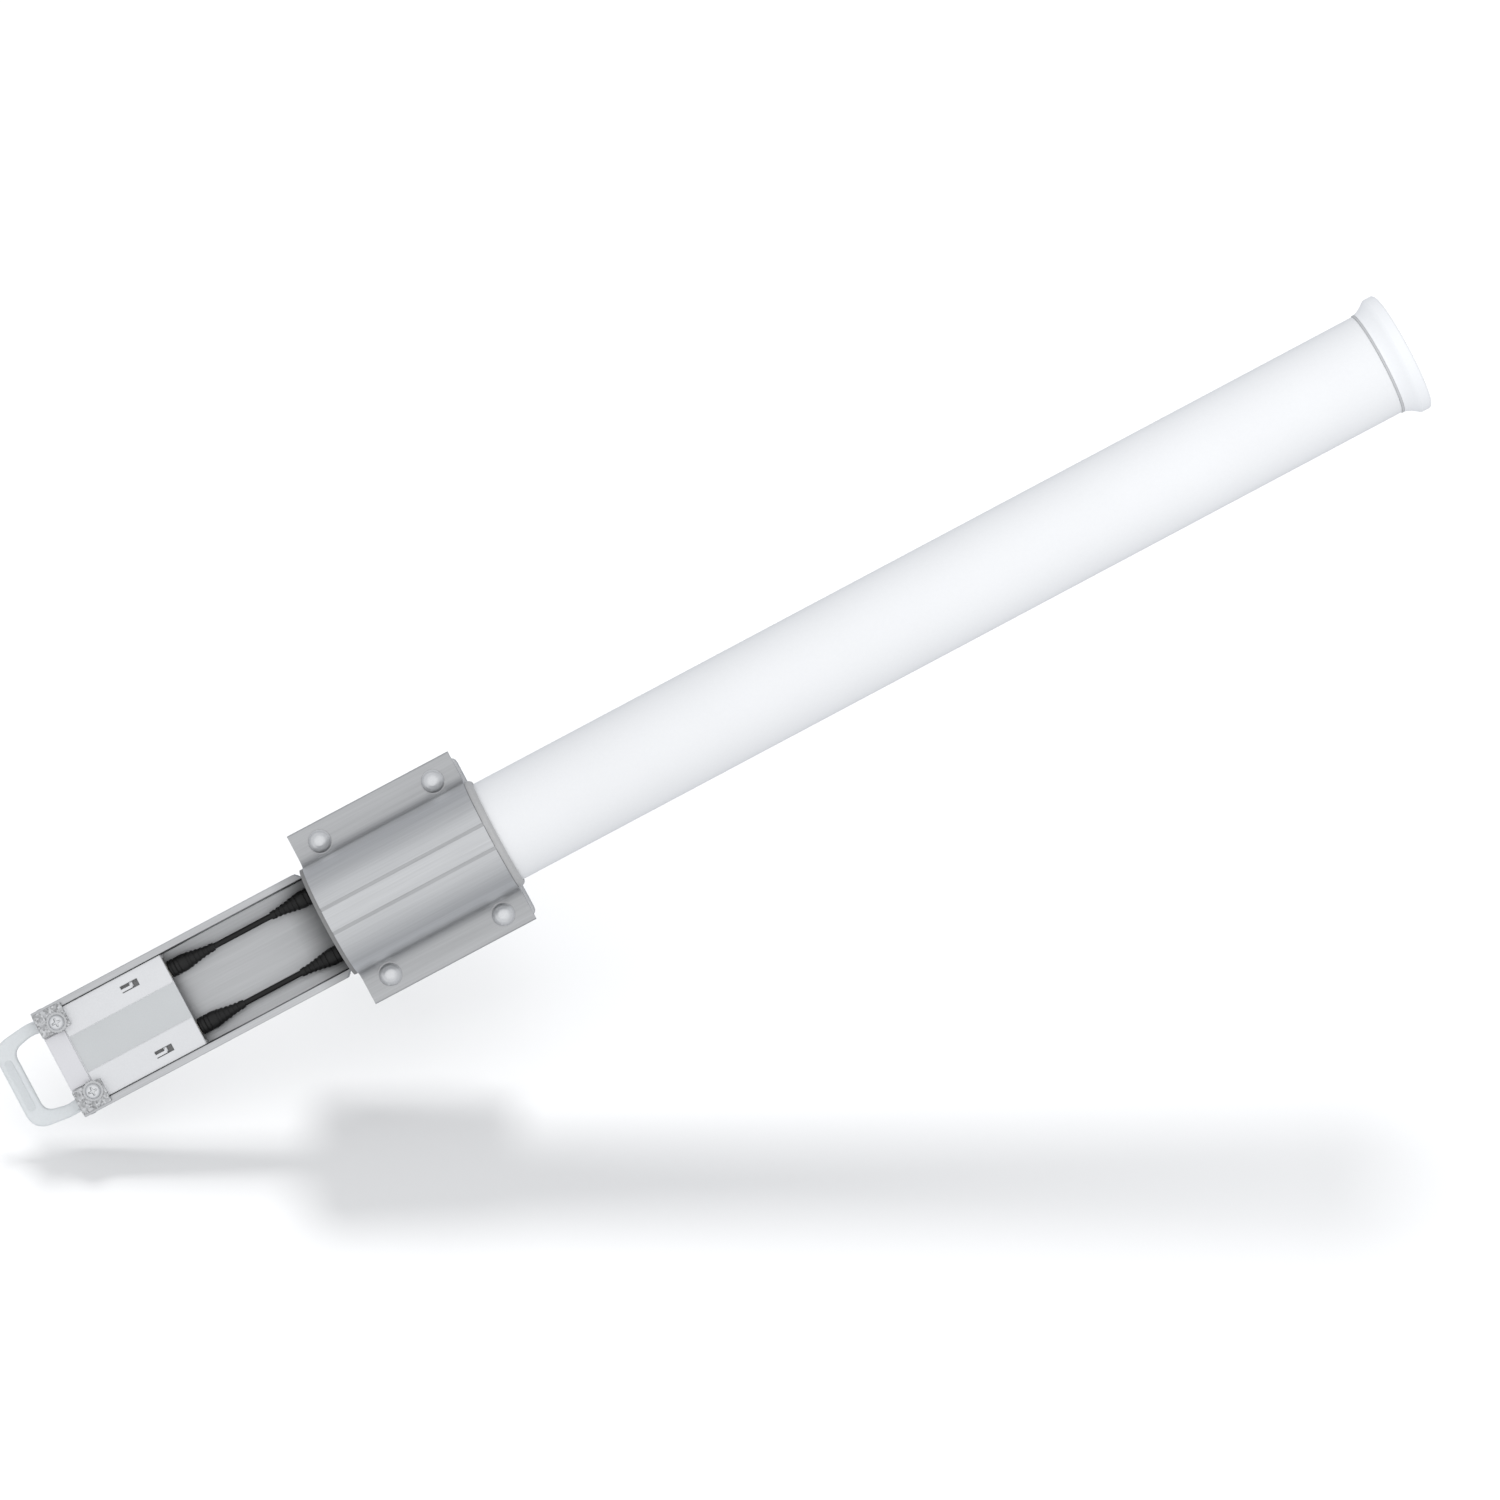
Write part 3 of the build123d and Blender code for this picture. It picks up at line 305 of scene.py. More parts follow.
def softened(corners, radius, closed=True, steps=4):
    """Rounds a polyline's corners: each becomes a curve from a point on one side to a point on the next.

    A point at t on the curve is (1-t)^2 of the first, 2t(1-t) of the corner and t^2 of the last."""
    pts = np.array(corners, float)
    before, after = np.roll(pts, 1, axis=0) - pts, np.roll(pts, -1, axis=0) - pts
    long_a, long_b = lengths(before), lengths(after)
    reach = np.minimum(np.broadcast_to(np.asarray(radius, float).reshape(-1, 1), long_a.shape),
                       0.45 * np.minimum(long_a, long_b))
    start, stop = pts + before / long_a * reach, pts + after / long_b * reach
    t = np.linspace(0, 1, steps + 1)[None, :, None]
    curve = (1 - t) ** 2 * start[:, None] + 2 * t * (1 - t) * pts[:, None] + t ** 2 * stop[:, None]
    if closed:
        return curve.reshape(-1, 2)
    return np.vstack([pts[:1], curve[1:-1].reshape(-1, 2), pts[-1:]])


print("helpers: lengths, softened")

# %% [markdown]
# A lathe makes most small hardware, and so does this helper. A Screw modifier would turn a plain profile too,
# but it has no place for a function that changes the radius on the way round.

# %% Turned surfaces
def turned(profile, centre, axis="Z", around=72, closed=True, shape=None):
    """A surface of revolution: each (radius, height) of the profile, in mm, is carried round the axis.

    A point's crosswise lengths are radius times the cosine and the sine of the turn. shape(radius,
    height, turn) may change the radius, for example to wind a thread or to cut flats."""
    profile = np.array(profile, float)
    turn = np.arange(around) / around * 2 * np.pi
    radius = np.repeat(profile[:, :1], around, axis=1)
    height = np.repeat(profile[:, 1:], around, axis=1)
    if shape is not None:
        radius = shape(radius, height, turn[None, :])
    points = along_axis(axis, radius * np.cos(turn), radius * np.sin(turn), height) + np.array(centre)
    return grid(points * MM, close_rows=closed)


def level_run(radius, heights):
    """The part of a profile that keeps one radius: a point at each height."""
    return np.stack([np.full_like(heights, radius), heights], axis=1)


print("helpers: turned, level_run")

# %% [markdown]
# These two helpers each make such a function: one winds a thread into a turned surface, and the other cuts it
# to a hexagon.

# %% Threads and hexagons
def threaded(major, pitch, depth):
    """The radius of a screw thread: where the profile is at the major radius, it dips by the depth once a
    pitch.

    The dip is a triangle wave of height / pitch minus the turn as a part of a full circle."""
    def shape(radius, height, turn):
        phase = height / pitch - turn / (2 * np.pi)
        dip = depth * np.abs(2 * (phase - np.floor(phase)) - 1)
        return np.where(radius > major - 0.01, radius - dip, radius)
    return shape


def six_sided(flats, low, high, slope=0.55):
    """Cuts a turned blank to a hexagon with chamfered corners: the radius is the smallest of the blank's
    own, the hexagon's in that direction, and a cone's that narrows towards both ends."""
    def shape(radius, height, turn):
        sector = np.mod(turn + np.pi / 6, np.pi / 3) - np.pi / 6
        hexagon = flats / 2 / np.cos(sector)
        inside = np.minimum(height - low, high - height)
        cone = flats / 2 * 0.97 + inside / slope
        return np.where(radius > flats / 4 + 1.4, np.minimum(np.minimum(radius, hexagon), cone), radius)
    return shape


print("helpers: threaded, six_sided")

# %% [markdown]
# A slab is a flat outline, with holes if it needs them, that has depth and a rounded rim. Its sides are a few
# copies of the outline, each moved inward a little less and backward a little more, and its two faces are
# filled.

# %% Moving an outline inward
from mathutils.geometry import tessellate_polygon


def wound(loop, anticlockwise):
    """The outline, reversed if it runs the other way round, which the sign of its area tells."""
    loop = np.array(loop, float)
    nxt = np.roll(loop, -1, axis=0)
    area = np.sum(loop[:, 0] * nxt[:, 1] - nxt[:, 0] * loop[:, 1])
    return loop if (area > 0) == anticlockwise else loop[::-1]


def inset(loop, amount):
    """Moves an outline's points to its left by an amount, each along the line that halves its corner."""
    ahead = np.roll(loop, -1, axis=0) - loop
    behind = loop - np.roll(loop, 1, axis=0)
    left = [np.stack([-d[:, 1], d[:, 0]], axis=1) / lengths(d) for d in (behind, ahead)]
    both = left[0] + left[1]
    scale = np.maximum(np.sum(both * left[0], axis=1, keepdims=True), 0.3)
    return loop + amount * both / scale


print("helpers: wound, inset")

# %% [markdown]
# The slab itself stacks those outlines as the rows of a grid, loop by loop, and fills its two faces with
# triangles between the outline and the holes.

# %% Slabs
def slab(loops, near, far, rim=0.3, back_rim=None, across="Y"):
    """A flat piece from near to far along one axis, in mm: the first loop is its outline and the others
    are holes.

    Each rim is a quarter circle: at angle t the outline is moved in by rim * (1 - sin t) and lies rim *
    (1 - cos t) behind the face."""
    back_rim = rim if back_rim is None else back_rim
    t = np.linspace(0, np.pi / 2, 4)
    insets = np.concatenate([rim * (1 - np.sin(t)), (back_rim * (1 - np.sin(t)))[::-1]])
    depths = np.concatenate([near + rim * (1 - np.cos(t)), (far - back_rim * (1 - np.cos(t)))[::-1]])
    verts, faces, count = [], [], 0
    ends = {0: [], len(insets) - 1: []}
    for k, loop in enumerate(loops):
        loop = wound(loop, k == 0)
        rows = np.stack([inset(loop, a) for a in insets])
        deep = np.repeat(depths[:, None], len(loop), axis=1)
        order = {"Y": (rows[..., 0], deep, rows[..., 1]), "Z": (rows[..., 0], rows[..., 1], deep),
                 "X": (deep, rows[..., 0], rows[..., 1])}[across]
        points, quads = grid(np.stack(order, axis=-1) * MM)
        verts.append(points)
        faces += [[i + count for i in q] for q in quads]
        for row in ends:
            ends[row].append((count + row * len(loop), [(x, y, 0.0) for x, y in rows[row].tolist()]))
        count += len(points)
    for parts in ends.values():
        places = np.concatenate([first + np.arange(len(outline)) for first, outline in parts])
        fill = tessellate_polygon([outline for first, outline in parts])
        faces += [[int(places[i]) for i in triangle] for triangle in fill]
    return np.vstack(verts), faces


print("helper: slab")

# %% [markdown]
# Most slabs and holes start from a rectangle or a circle.

# %% Common outlines
def rectangle(low_x, high_x, low_z, high_z, corner=0.0):
    """A rectangle's outline, with rounded corners if a corner size is given."""
    box = [(low_x, low_z), (high_x, low_z), (high_x, high_z), (low_x, high_z)]
    return softened(box, corner) if corner else np.array(box)


def on_side(side, inner, outer, low_z, high_z, corner):
    """A rectangle between two distances from the middle, on the side that -1 or 1 names."""
    return rectangle(*sorted((side * inner, side * outer)), low_z, high_z, corner)


def circle(x, z, radius, count=48):
    """Evenly spaced points on a circle."""
    turn = np.arange(count) / count * 2 * np.pi
    return np.stack([x + radius * np.cos(turn), z + radius * np.sin(turn)], axis=1)


print("helpers: rectangle, on_side, circle")

# %% [markdown]
# A piece gathers its surfaces in one mesh at the origin, joins the points where a surface closes on itself,
# turns its faces outward and shades it smooth except across sharp edges. It then gets its paint, which is
# named by its record slot unless another is given, and the body that it rides on. The CAD nodes that it stands
# for are hidden.

# %% Pieces
pieces = {}
sharp_angle = math.radians(32.0)


def piece(name, surfaces, slot, nodes, body="root", paint=None):
    """One mesh object made of surfaces; its paint has the same name as its slot unless another one is
    given."""
    mesh = bpy.data.meshes.new(name)
    verts, faces, count = [], [], 0
    for points, polygons in surfaces:
        verts.append(points)
        faces += [[i + count for i in polygon] for polygon in polygons]
        count += len(points)
    mesh.from_pydata(np.vstack(verts).tolist(), [], faces)
    work = bmesh.new()
    work.from_mesh(mesh)
    bmesh.ops.remove_doubles(work, verts=work.verts, dist=1e-7)
    bmesh.ops.recalc_face_normals(work, faces=work.faces)
    work.to_mesh(mesh)
    work.free()
    mesh.shade_smooth()
    mesh.set_sharp_from_angle(angle=sharp_angle)
    obj = bpy.data.objects.new(name, mesh)
    bpy.context.scene.collection.objects.link(obj)
    mesh.materials.append(paints[paint or slot])
    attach(obj, body)
    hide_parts(*nodes)
    pieces[name] = obj
    print(name, len(mesh.polygons), "faces")
    return obj

# %% [markdown]
# ## Finishes
# Most of the antenna is bare extruded metal, smooth plastic or plated steel. Pictures of such surfaces could
# be wrapped round the pieces, but noise on Object coordinates needs no unwrapping and stays sharp close up.
# All the finishes share two small node groups. "grain" makes a fine noise that can be drawn out along an
# axis, as the marks of an extrusion die or a brush are, and a soft, larger cloudiness. "spangle" makes the
# crystal patches of zinc. They only feed colour, roughness and bump height; the Principled BSDF stays in each
# material.

# %% Shared node groups
def new_group(name, inputs, outputs):
    """A node group with an input for each label and default value: a number, or a vector where it is None."""
    group = bpy.data.node_groups.new(name, "ShaderNodeTree")
    for label, value in inputs.items():
        kind = "NodeSocketVector" if value is None else "NodeSocketFloat"
        socket = group.interface.new_socket(label, in_out="INPUT", socket_type=kind)
        if value is not None:
            socket.default_value = value
    for label in outputs:
        group.interface.new_socket(label, in_out="OUTPUT", socket_type="NodeSocketFloat")
    return group, group.nodes.new("NodeGroupInput"), group.nodes.new("NodeGroupOutput")


grain, inside, outside = new_group(
    "grain", {"Vector": None, "Fine Scale": 900.0, "Cloud Scale": 22.0}, ["Fine", "Cloud"])
for label, scale_name, detail in (("Fine", "Fine Scale", 5.0), ("Cloud", "Cloud Scale", 3.0)):
    noise = node(grain, "ShaderNodeTexNoise", {"Detail": detail, "Roughness": 0.55})
    stretch = node(grain, "ShaderNodeMapRange", {"From Min": 0.3, "From Max": 0.7})
    link(inside, "Vector", noise, "Vector")
    link(inside, scale_name, noise, "Scale")
    link(noise, "Fac", stretch, "Value")
    link(stretch, "Result", outside, label)

spangle, inside, outside = new_group(
    "spangle", {"Vector": None, "Scale": 900.0}, ["Patch"])
cells = node(spangle, "ShaderNodeTexVoronoi", {"Randomness": 1.0})
shade = node(spangle, "ShaderNodeSeparateColor")
link(inside, "Vector", cells, "Vector")
link(inside, "Scale", cells, "Scale")
link(cells, "Color", shade, "Color")
link(shade, "Red", outside, "Patch")
print("node groups: grain, spangle")

# %% [markdown]
# Each finish could have its own node tree, but they differ only in their numbers. So one function makes them
# all: two colours that the grain mixes, two roughnesses that the clouds mix, how metallic it is, how far the
# grain is drawn out along Z, how high its bumps are, and how strong its clear coat and its shine are.

# %% Paint function
paints = {}


def mixed(tree, factor, a, b):
    """A colour mix node between two plain colours: returns the node."""
    blend = node(tree, "ShaderNodeMix", data_type="RGBA")
    blend.inputs["A"].default_value = (*a, 1)
    blend.inputs["B"].default_value = (*b, 1)
    tree.links.new(factor, blend.inputs["Factor"])
    return blend


def paint(name, dark, light, rough=(0.4, 0.5), metallic=0.0, fine=900.0, cloud=22.0, drawn=(1, 1, 1),
          bump=0.0, patches=0.0, coat=0.0, shine=0.5):
    """Makes a finish and keeps it by its name: returns the material, its node tree and its Principled
    BSDF."""
    made, tree, principled, output = material(name)
    where = node(tree, "ShaderNodeTexCoord")
    turnabout = node(tree, "ShaderNodeMapping", {"Scale": drawn})
    marks = node(tree, "ShaderNodeGroup", node_tree=grain)
    marks.inputs["Fine Scale"].default_value = fine
    marks.inputs["Cloud Scale"].default_value = cloud
    link(where, "Object", turnabout, "Vector")
    link(turnabout, "Vector", marks, "Vector")
    both = node(tree, "ShaderNodeMath", {1: 0.5}, operation="MULTIPLY_ADD")
    half = node(tree, "ShaderNodeMath", {1: 0.5}, operation="MULTIPLY")
    link(marks, "Cloud", half, 0)
    link(marks, "Fine", both, 0)
    link(half, 0, both, 2)
    tone = both.outputs[0]
    if patches:
        zinc = node(tree, "ShaderNodeGroup", node_tree=spangle)
        zinc.inputs["Scale"].default_value = patches
        link(where, "Object", zinc, "Vector")
        tone = zinc.outputs["Patch"]
    tree.links.new(mixed(tree, tone, dark, light).outputs["Result"], principled.inputs["Base Color"])
    gloss = node(tree, "ShaderNodeMapRange", {"To Min": rough[0], "To Max": rough[1]})
    link(marks, "Cloud", gloss, "Value")
    link(gloss, "Result", principled, "Roughness")
    principled.inputs["Metallic"].default_value = metallic
    principled.inputs["Coat Weight"].default_value = coat
    principled.inputs["Coat Roughness"].default_value = 0.12
    principled.inputs["Specular IOR Level"].default_value = shine
    principled.inputs["IOR"].default_value = 1.46
    if bump:
        relief = node(tree, "ShaderNodeBump", {"Distance": bump * MM, "Strength": 1.0})
        link(marks, "Fine", relief, "Height")
        link(relief, "Normal", principled, "Normal")
    paints[name] = made
    return made, tree, principled


print("helpers: mixed, paint")

# %% [markdown]
# With that function a finish is one line. The metals are greys with a cool tint, the plastics get a thin
# clear coat, and the black ones shine less.

# %% Plain finishes
def grey(level, tint=(1.0, 1.0, 1.0)):
    """A grey with a slight tint, as a colour of three linear parts."""
    return tuple(level * t for t in tint)


cool = (0.975, 0.985, 1.0)
long_z = (1.0, 1.0, 0.02)
paint("cap_white", grey(0.96, cool), grey(0.98, cool), (0.32, 0.40), bump=0.01)
paint("seal_grey", grey(0.55, cool), grey(0.66, cool), (0.6, 0.7), bump=0.02)
paint("collar_grey", grey(0.42), grey(0.50), (0.45, 0.55), bump=0.02)
paint("jaw_aluminium", grey(0.50, cool), grey(0.58, cool), (0.42, 0.55), 1.0, fine=1500.0, bump=0.03)
paint("steel", grey(0.42, cool), grey(0.54, cool), (0.30, 0.42), 1.0, fine=1300.0, bump=0.008)
paint("bolt_steel", grey(0.58, cool), grey(0.70, cool), (0.32, 0.42), 1.0, fine=1300.0, bump=0.008)
paint("spring_steel", grey(0.38), grey(0.48), (0.25, 0.35), 1.0, drawn=long_z, bump=0.004)
paint("corner_metal", grey(0.26, cool), grey(0.60, cool), (0.35, 0.55), 1.0, patches=1100.0, bump=0.02)
paint("brass", (0.62, 0.45, 0.20), (0.74, 0.56, 0.27), (0.25, 0.35), 1.0, bump=0.006)
paint("nut_brass", (0.50, 0.48, 0.43), (0.62, 0.60, 0.55), (0.22, 0.32), 1.0, bump=0.006)
paint("plug_plastic", grey(0.20), grey(0.25), (0.5, 0.6), bump=0.02)
paint("rubber_black", grey(0.008), grey(0.014), (0.55, 0.7), bump=0.02, shine=0.3)
plastics = (("mount_white", 0.72, (0.98, 0.985, 1.0)), ("panel_blue_white", 0.58, (0.965, 0.99, 1.0)),
            ("strip_lavender", 0.69, (0.975, 0.97, 1.0)))
for name, level, tint in plastics:
    paint(name, grey(level - 0.03, tint), grey(level + 0.03, tint), (0.38, 0.46), fine=1600.0, bump=0.02,
          coat=0.1)
paint("cable_black", grey(0.006), grey(0.012), (0.45, 0.55), bump=0.01, shine=0.3)
paint("boot_black", grey(0.006), grey(0.014), (0.42, 0.52), bump=0.02, shine=0.3)
paint("board_green", (0.02, 0.16, 0.06), (0.03, 0.20, 0.08), (0.35, 0.45), bump=0.01)
paint("copper", (0.70, 0.33, 0.18), (0.78, 0.42, 0.25), (0.3, 0.4), 1.0, bump=0.005)
paint("foam_white", grey(0.72), grey(0.84), (0.8, 0.9), fine=1500.0, bump=0.15)
paint("coax_grey", (0.36, 0.24, 0.12), (0.45, 0.32, 0.18), (0.4, 0.5), bump=0.005)
print(len(paints), "plain finishes")

# %% [markdown]
# Some light and shade is painted into the colours here. An extrusion's grooves and its turned-away sides are
# painted darker, as shade would make them, and so is a part that lies in another's shade, while a few faces
# get a painted highlight. Vertex colours could hold that painted light and shade, but they would be as coarse
# as the mesh. A third node group, "band", works it out from a coordinate instead: one tone inside a half width
# from a middle value, another outside, with a soft edge.

# %% Painted light and shade that change with place
band, inside, outside = new_group(
    "band", {"Place": 0.0, "Middle": 0.0, "Half Width": 0.01, "Edge": 0.001, "Inner Tone": 1.0,
             "Outer Tone": 1.0}, ["Tone"])
offset = node(band, "ShaderNodeMath", operation="SUBTRACT")
away = node(band, "ShaderNodeMath", operation="ABSOLUTE")
past = node(band, "ShaderNodeMath", operation="SUBTRACT")
soft = node(band, "ShaderNodeMath", operation="DIVIDE")
level = node(band, "ShaderNodeMapRange")
link(inside, "Place", offset, 0)
link(inside, "Middle", offset, 1)
link(offset, 0, away, 0)
link(away, 0, past, 0)
link(inside, "Half Width", past, 1)
link(past, 0, soft, 0)
link(inside, "Edge", soft, 1)
link(soft, 0, level, "Value")
link(inside, "Inner Tone", level, "To Min")
link(inside, "Outer Tone", level, "To Max")
link(level, "Result", outside, "Tone")


# This function paints light and shade: it multiplies a colour by bands of painted shade and painted highlight.
def painted_light_bands(made, tree, principled, bands):
    """Multiplies a paint's colour by one band after another. Each is (axis, whether both sides of zero
    are alike, middle, half width, edge, inner tone, outer tone)."""
    place = node(tree, "ShaderNodeTexCoord")
    axes = node(tree, "ShaderNodeSeparateXYZ")
    link(place, "Object", axes, 0)
    colour = principled.inputs["Base Color"].links[0].from_socket
    for along, mirror, middle_value, half, edge, inner, outer in bands:
        here = axes.outputs[along]
        if mirror:
            fold = node(tree, "ShaderNodeMath", operation="ABSOLUTE")
            tree.links.new(here, fold.inputs[0])
            here = fold.outputs[0]
        tone = node(tree, "ShaderNodeGroup", {"Middle": middle_value, "Half Width": half, "Edge": edge,
                                              "Inner Tone": inner, "Outer Tone": outer}, node_tree=band)
        shade = node(tree, "ShaderNodeVectorMath", operation="SCALE")
        tree.links.new(here, tone.inputs["Place"])
        tree.links.new(colour, shade.inputs[0])
        link(tone, "Tone", shade, "Scale")
        colour = shade.outputs["Vector"]
    tree.links.new(colour, principled.inputs["Base Color"])


print("node groups:", ", ".join(sorted(group.name for group in bpy.data.node_groups)))

# %% [markdown]
# Three finishes use the bands, and what they add is painted light and shade. On the saddle they paint shade
# into the two grooves and onto the flat flanges, most of all along the foot of the arch. They also paint a
# highlight on the arch's steep sides, which come out lighter. On the channel they paint the rails a little
# lighter, and paint shade on the end that lies in the saddle's shade. On the radome they paint the far end a
# little whiter, as if it were nearer to the light.

# %% Painted shade and highlights on the extruded aluminium and the radome's coat
metal = dict(rough=(0.36, 0.46), metallic=1.0, fine=1100.0, cloud=120.0, drawn=long_z, bump=0.012)
# Painted shade in the grooves, on the flanges and along the arch's foot, and a painted highlight on the arch's
# steep sides.
painted_light_bands(*paint("saddle_aluminium", grey(0.47, cool), grey(0.59, cool), **metal),
      [("X", True, 0.0066, 0.0007, 0.0004, 0.79, 1.0), ("X", True, 0.0, 0.029, 0.002, 1.0, 0.80),
       ("X", True, 0.0335, 0.002, 0.009, 0.93, 1.0), ("X", True, 0.0282, 0.001, 0.0035, 1.22, 1.0)])
shade_end = box("channel")[1][2] * MM
# A painted highlight on the rails, and painted shade on the end that lies under the saddle.
painted_light_bands(*paint("channel_aluminium", grey(0.40, cool), grey(0.49, cool), **metal),
      [("X", True, 0.0, 0.0255, 0.0005, 1.0, 1.10), ("Z", False, shade_end, 0.002, 0.016, 0.58, 1.0)])
# Painted light: the radome's far end is painted a little whiter than its near end.
painted_light_bands(*paint("radome_white", grey(0.88, (0.985, 0.99, 1.0)), grey(0.91, (0.985, 0.99, 1.0)), (0.30, 0.38),
             fine=700.0, bump=0.012, coat=0.15),
      [("Z", False, 0.045, 0.0, 0.40, 0.955, 1.035)])
print("banded: saddle, channel and radome")

# %% [markdown]
# The release loop is a frosted, slightly see-through moulding. Full transmission would make it look like
# glass, so part of the light passes straight through instead, and more of it does where the loop is looked at
# square on than at its rims.

# %% Frosted plastic
made, tree, principled = paint("loop_plastic", grey(0.76, (0.95, 0.985, 1.0)), grey(0.84, (0.95, 0.985, 1.0)),
                               (0.25, 0.33), bump=0.01, coat=0.2)
facing = node(tree, "ShaderNodeLayerWeight", {"Blend": 0.35})
solid = node(tree, "ShaderNodeMapRange", {"To Min": 0.72, "To Max": 0.9})
link(facing, "Facing", solid, "Value")
link(solid, "Result", principled, "Alpha")
print(len(paints), "finishes in all")

# %% [markdown]
# The CAD nodes that keep their shapes take the finish that their record slot names.

# %% Finishes on the CAD nodes
slot_of = {part["node"]: part["material_slot"] for part in frame["record"]["subparts"]}
for name, obj in frame["nodes"].items():
    obj.data.materials.clear()
    obj.data.materials.append(paints[slot_of[name]])
print(len(slot_of), "CAD nodes painted")

# %% [markdown]
# ## Radome
# The radome is one long glass-fibre tube with a smooth white coat, sealed to its cap by a soft ring and held
# in the saddle under a collar. A cylinder with a bevel would do for the tube, but one turned helper gives all
# three their rounded lips, and 144 steps round keep the long edges smooth.

# %% Radome tube and rings
axis = np.array([0.0, axis_y, 0.0])


def span(name):
    """A CAD node's lowest and highest Z."""
    low, high = box(name)
    return low[2], high[2]


tube_low, tube_high = span("radome_tube")
outer, wall = tube_r, 2.0
tube_profile = rectangle(outer - wall, outer, tube_low, tube_high, 0.5)
piece("radome_tube_skin", [turned(tube_profile, axis, around=144)], "radome_white", ["radome_tube"])

seal_low, seal_high = span("cap_seal_ring")
seal_profile = rectangle(outer - wall, outer + 0.45, seal_low, seal_high, 0.35)
piece("seal_ring", [turned(seal_profile, axis, around=144)], "seal_grey", ["cap_seal_ring"])

collar_low, collar_high = span("tube_collar")
collar_r = size("tube_collar")[0] / 2
collar_profile = softened([(outer + 0.05, collar_low), (collar_r, collar_low), (collar_r, collar_high - 1.4),
                           (collar_r - 1.2, collar_high), (outer + 0.05, collar_high - 0.6)], 0.5)
piece("collar_ring", [turned(collar_profile, axis, around=144)], "collar_grey", ["tube_collar"])

# %% [markdown]
# The cap is a moulding that is pushed into the tube. It flares to a wide rim, its lid is slightly dished
# inside the rim, and a spigot under the lid reaches down into the tube. Scaled edge loops could shape it by
# eye; a profile keeps the flare a formula, which is easier to tune.

# %% Cap
cap_low, cap_high = span("radome_cap")
cap_r = size("radome_cap")[0] / 2
foot = seal_high
rise = cap_high - foot
# the flare's radius grows by the power 1.6 of the height, over the lower half of the cap's rise
t = np.linspace(0, 1, 14)
flare = np.stack([outer + 0.5 + (cap_r - 0.7 - outer - 0.5) * t ** 1.6, foot + rise * 0.50 * t], axis=1)
rim_top = softened([(cap_r - 0.5, foot + rise * 0.53), (cap_r, foot + rise * 0.60), (cap_r, cap_high - 0.9),
                    (cap_r - 1.1, cap_high), (cap_r - 3.0, cap_high), (cap_r - 3.8, cap_high - 0.7),
                    (HUB, cap_high - 0.5)], 0.7, closed=False)
spigot, lid = outer - wall - 0.2, cap_high - 2.6
spigot_wall = 2.4
under = np.array([(HUB, lid), (spigot - spigot_wall, lid), (spigot - spigot_wall, cap_low),
                  (spigot, cap_low), (spigot, foot)])
piece("cap", [turned(np.vstack([flare, rim_top, under]), axis, around=144)], "cap_white", ["radome_cap"])

# %% [markdown]
# ## Mast clamp hardware
# Four carriage bolts pull the saddle and the jaws together round the mast. Each has a low domed head with a
# small flat in its middle, a square neck that keeps it from turning, a shank, and a rolled thread at its far
# end. A bump map could draw the thread, but its outline shows behind the jaws, so it is wound into the
# surface on a finely stepped profile.

# %% Clamp bolts
bolt_low, bolt_high = box("clamp_bolts")
head_r, shank_r, head_h, thread_long = 5.9, 3.0, 3.4, 26.0
bolt_x = bolt_high[0] - head_r
bolt_z = bolt_high[2] - head_r
head_front, bolt_end = bolt_low[1], bolt_high[1]
flange = head_front + head_h
# the dome falls back from its top by the power 2.4 of the distance from the bolt's axis
t = np.linspace(0.0, 1.0, 12)
dome = np.stack([HUB + (head_r - 0.15) * t, head_front + 0.12 + (head_h - 0.75) * t ** 2.4], axis=1)
dome[:2, 1] = head_front + 0.05
head_rim = softened([(head_r - 0.15, flange - 0.63), (head_r, flange - 0.35), (head_r - 0.1, flange),
                     (shank_r, flange)], 0.15, closed=False)
thread_start = bolt_end - thread_long
steps = np.arange(thread_start, bolt_end - 0.6, 0.125)
winding = level_run(shank_r, steps)
plain = shank_r - 0.02
bolt_profile = np.vstack([dome, head_rim, [(plain, flange + 0.1), (plain, thread_start - 0.2)], winding,
                          [(shank_r - 0.6, bolt_end), (HUB, bolt_end)]])
bolts = [turned(bolt_profile, (sx * bolt_x, 0, sz * bolt_z), "Y", 40, closed=False,
                shape=threaded(shank_r, 1.0, 0.28)) for sx in (-1, 1) for sz in (-1, 1)]
neck = 3.3
necks = [slab([rectangle(sx * bolt_x - neck, sx * bolt_x + neck, sz * bolt_z - neck, sz * bolt_z + neck)],
              flange, flange + 4.0, 0.2) for sx in (-1, 1) for sz in (-1, 1)]
piece("clamp_bolt_set", bolts + necks, "bolt_steel", ["clamp_bolts"])

# %% [markdown]
# The nuts are hexagons with chamfered corners, and each sits on a flat washer. A six-sided cylinder with a
# bevel has no round chamfers, which a lathe cuts on a real nut. So each starts as a round blank, and the
# smallest of three radii, the blank's, the hexagon's and a cone's, makes the flats and the chamfers at once.

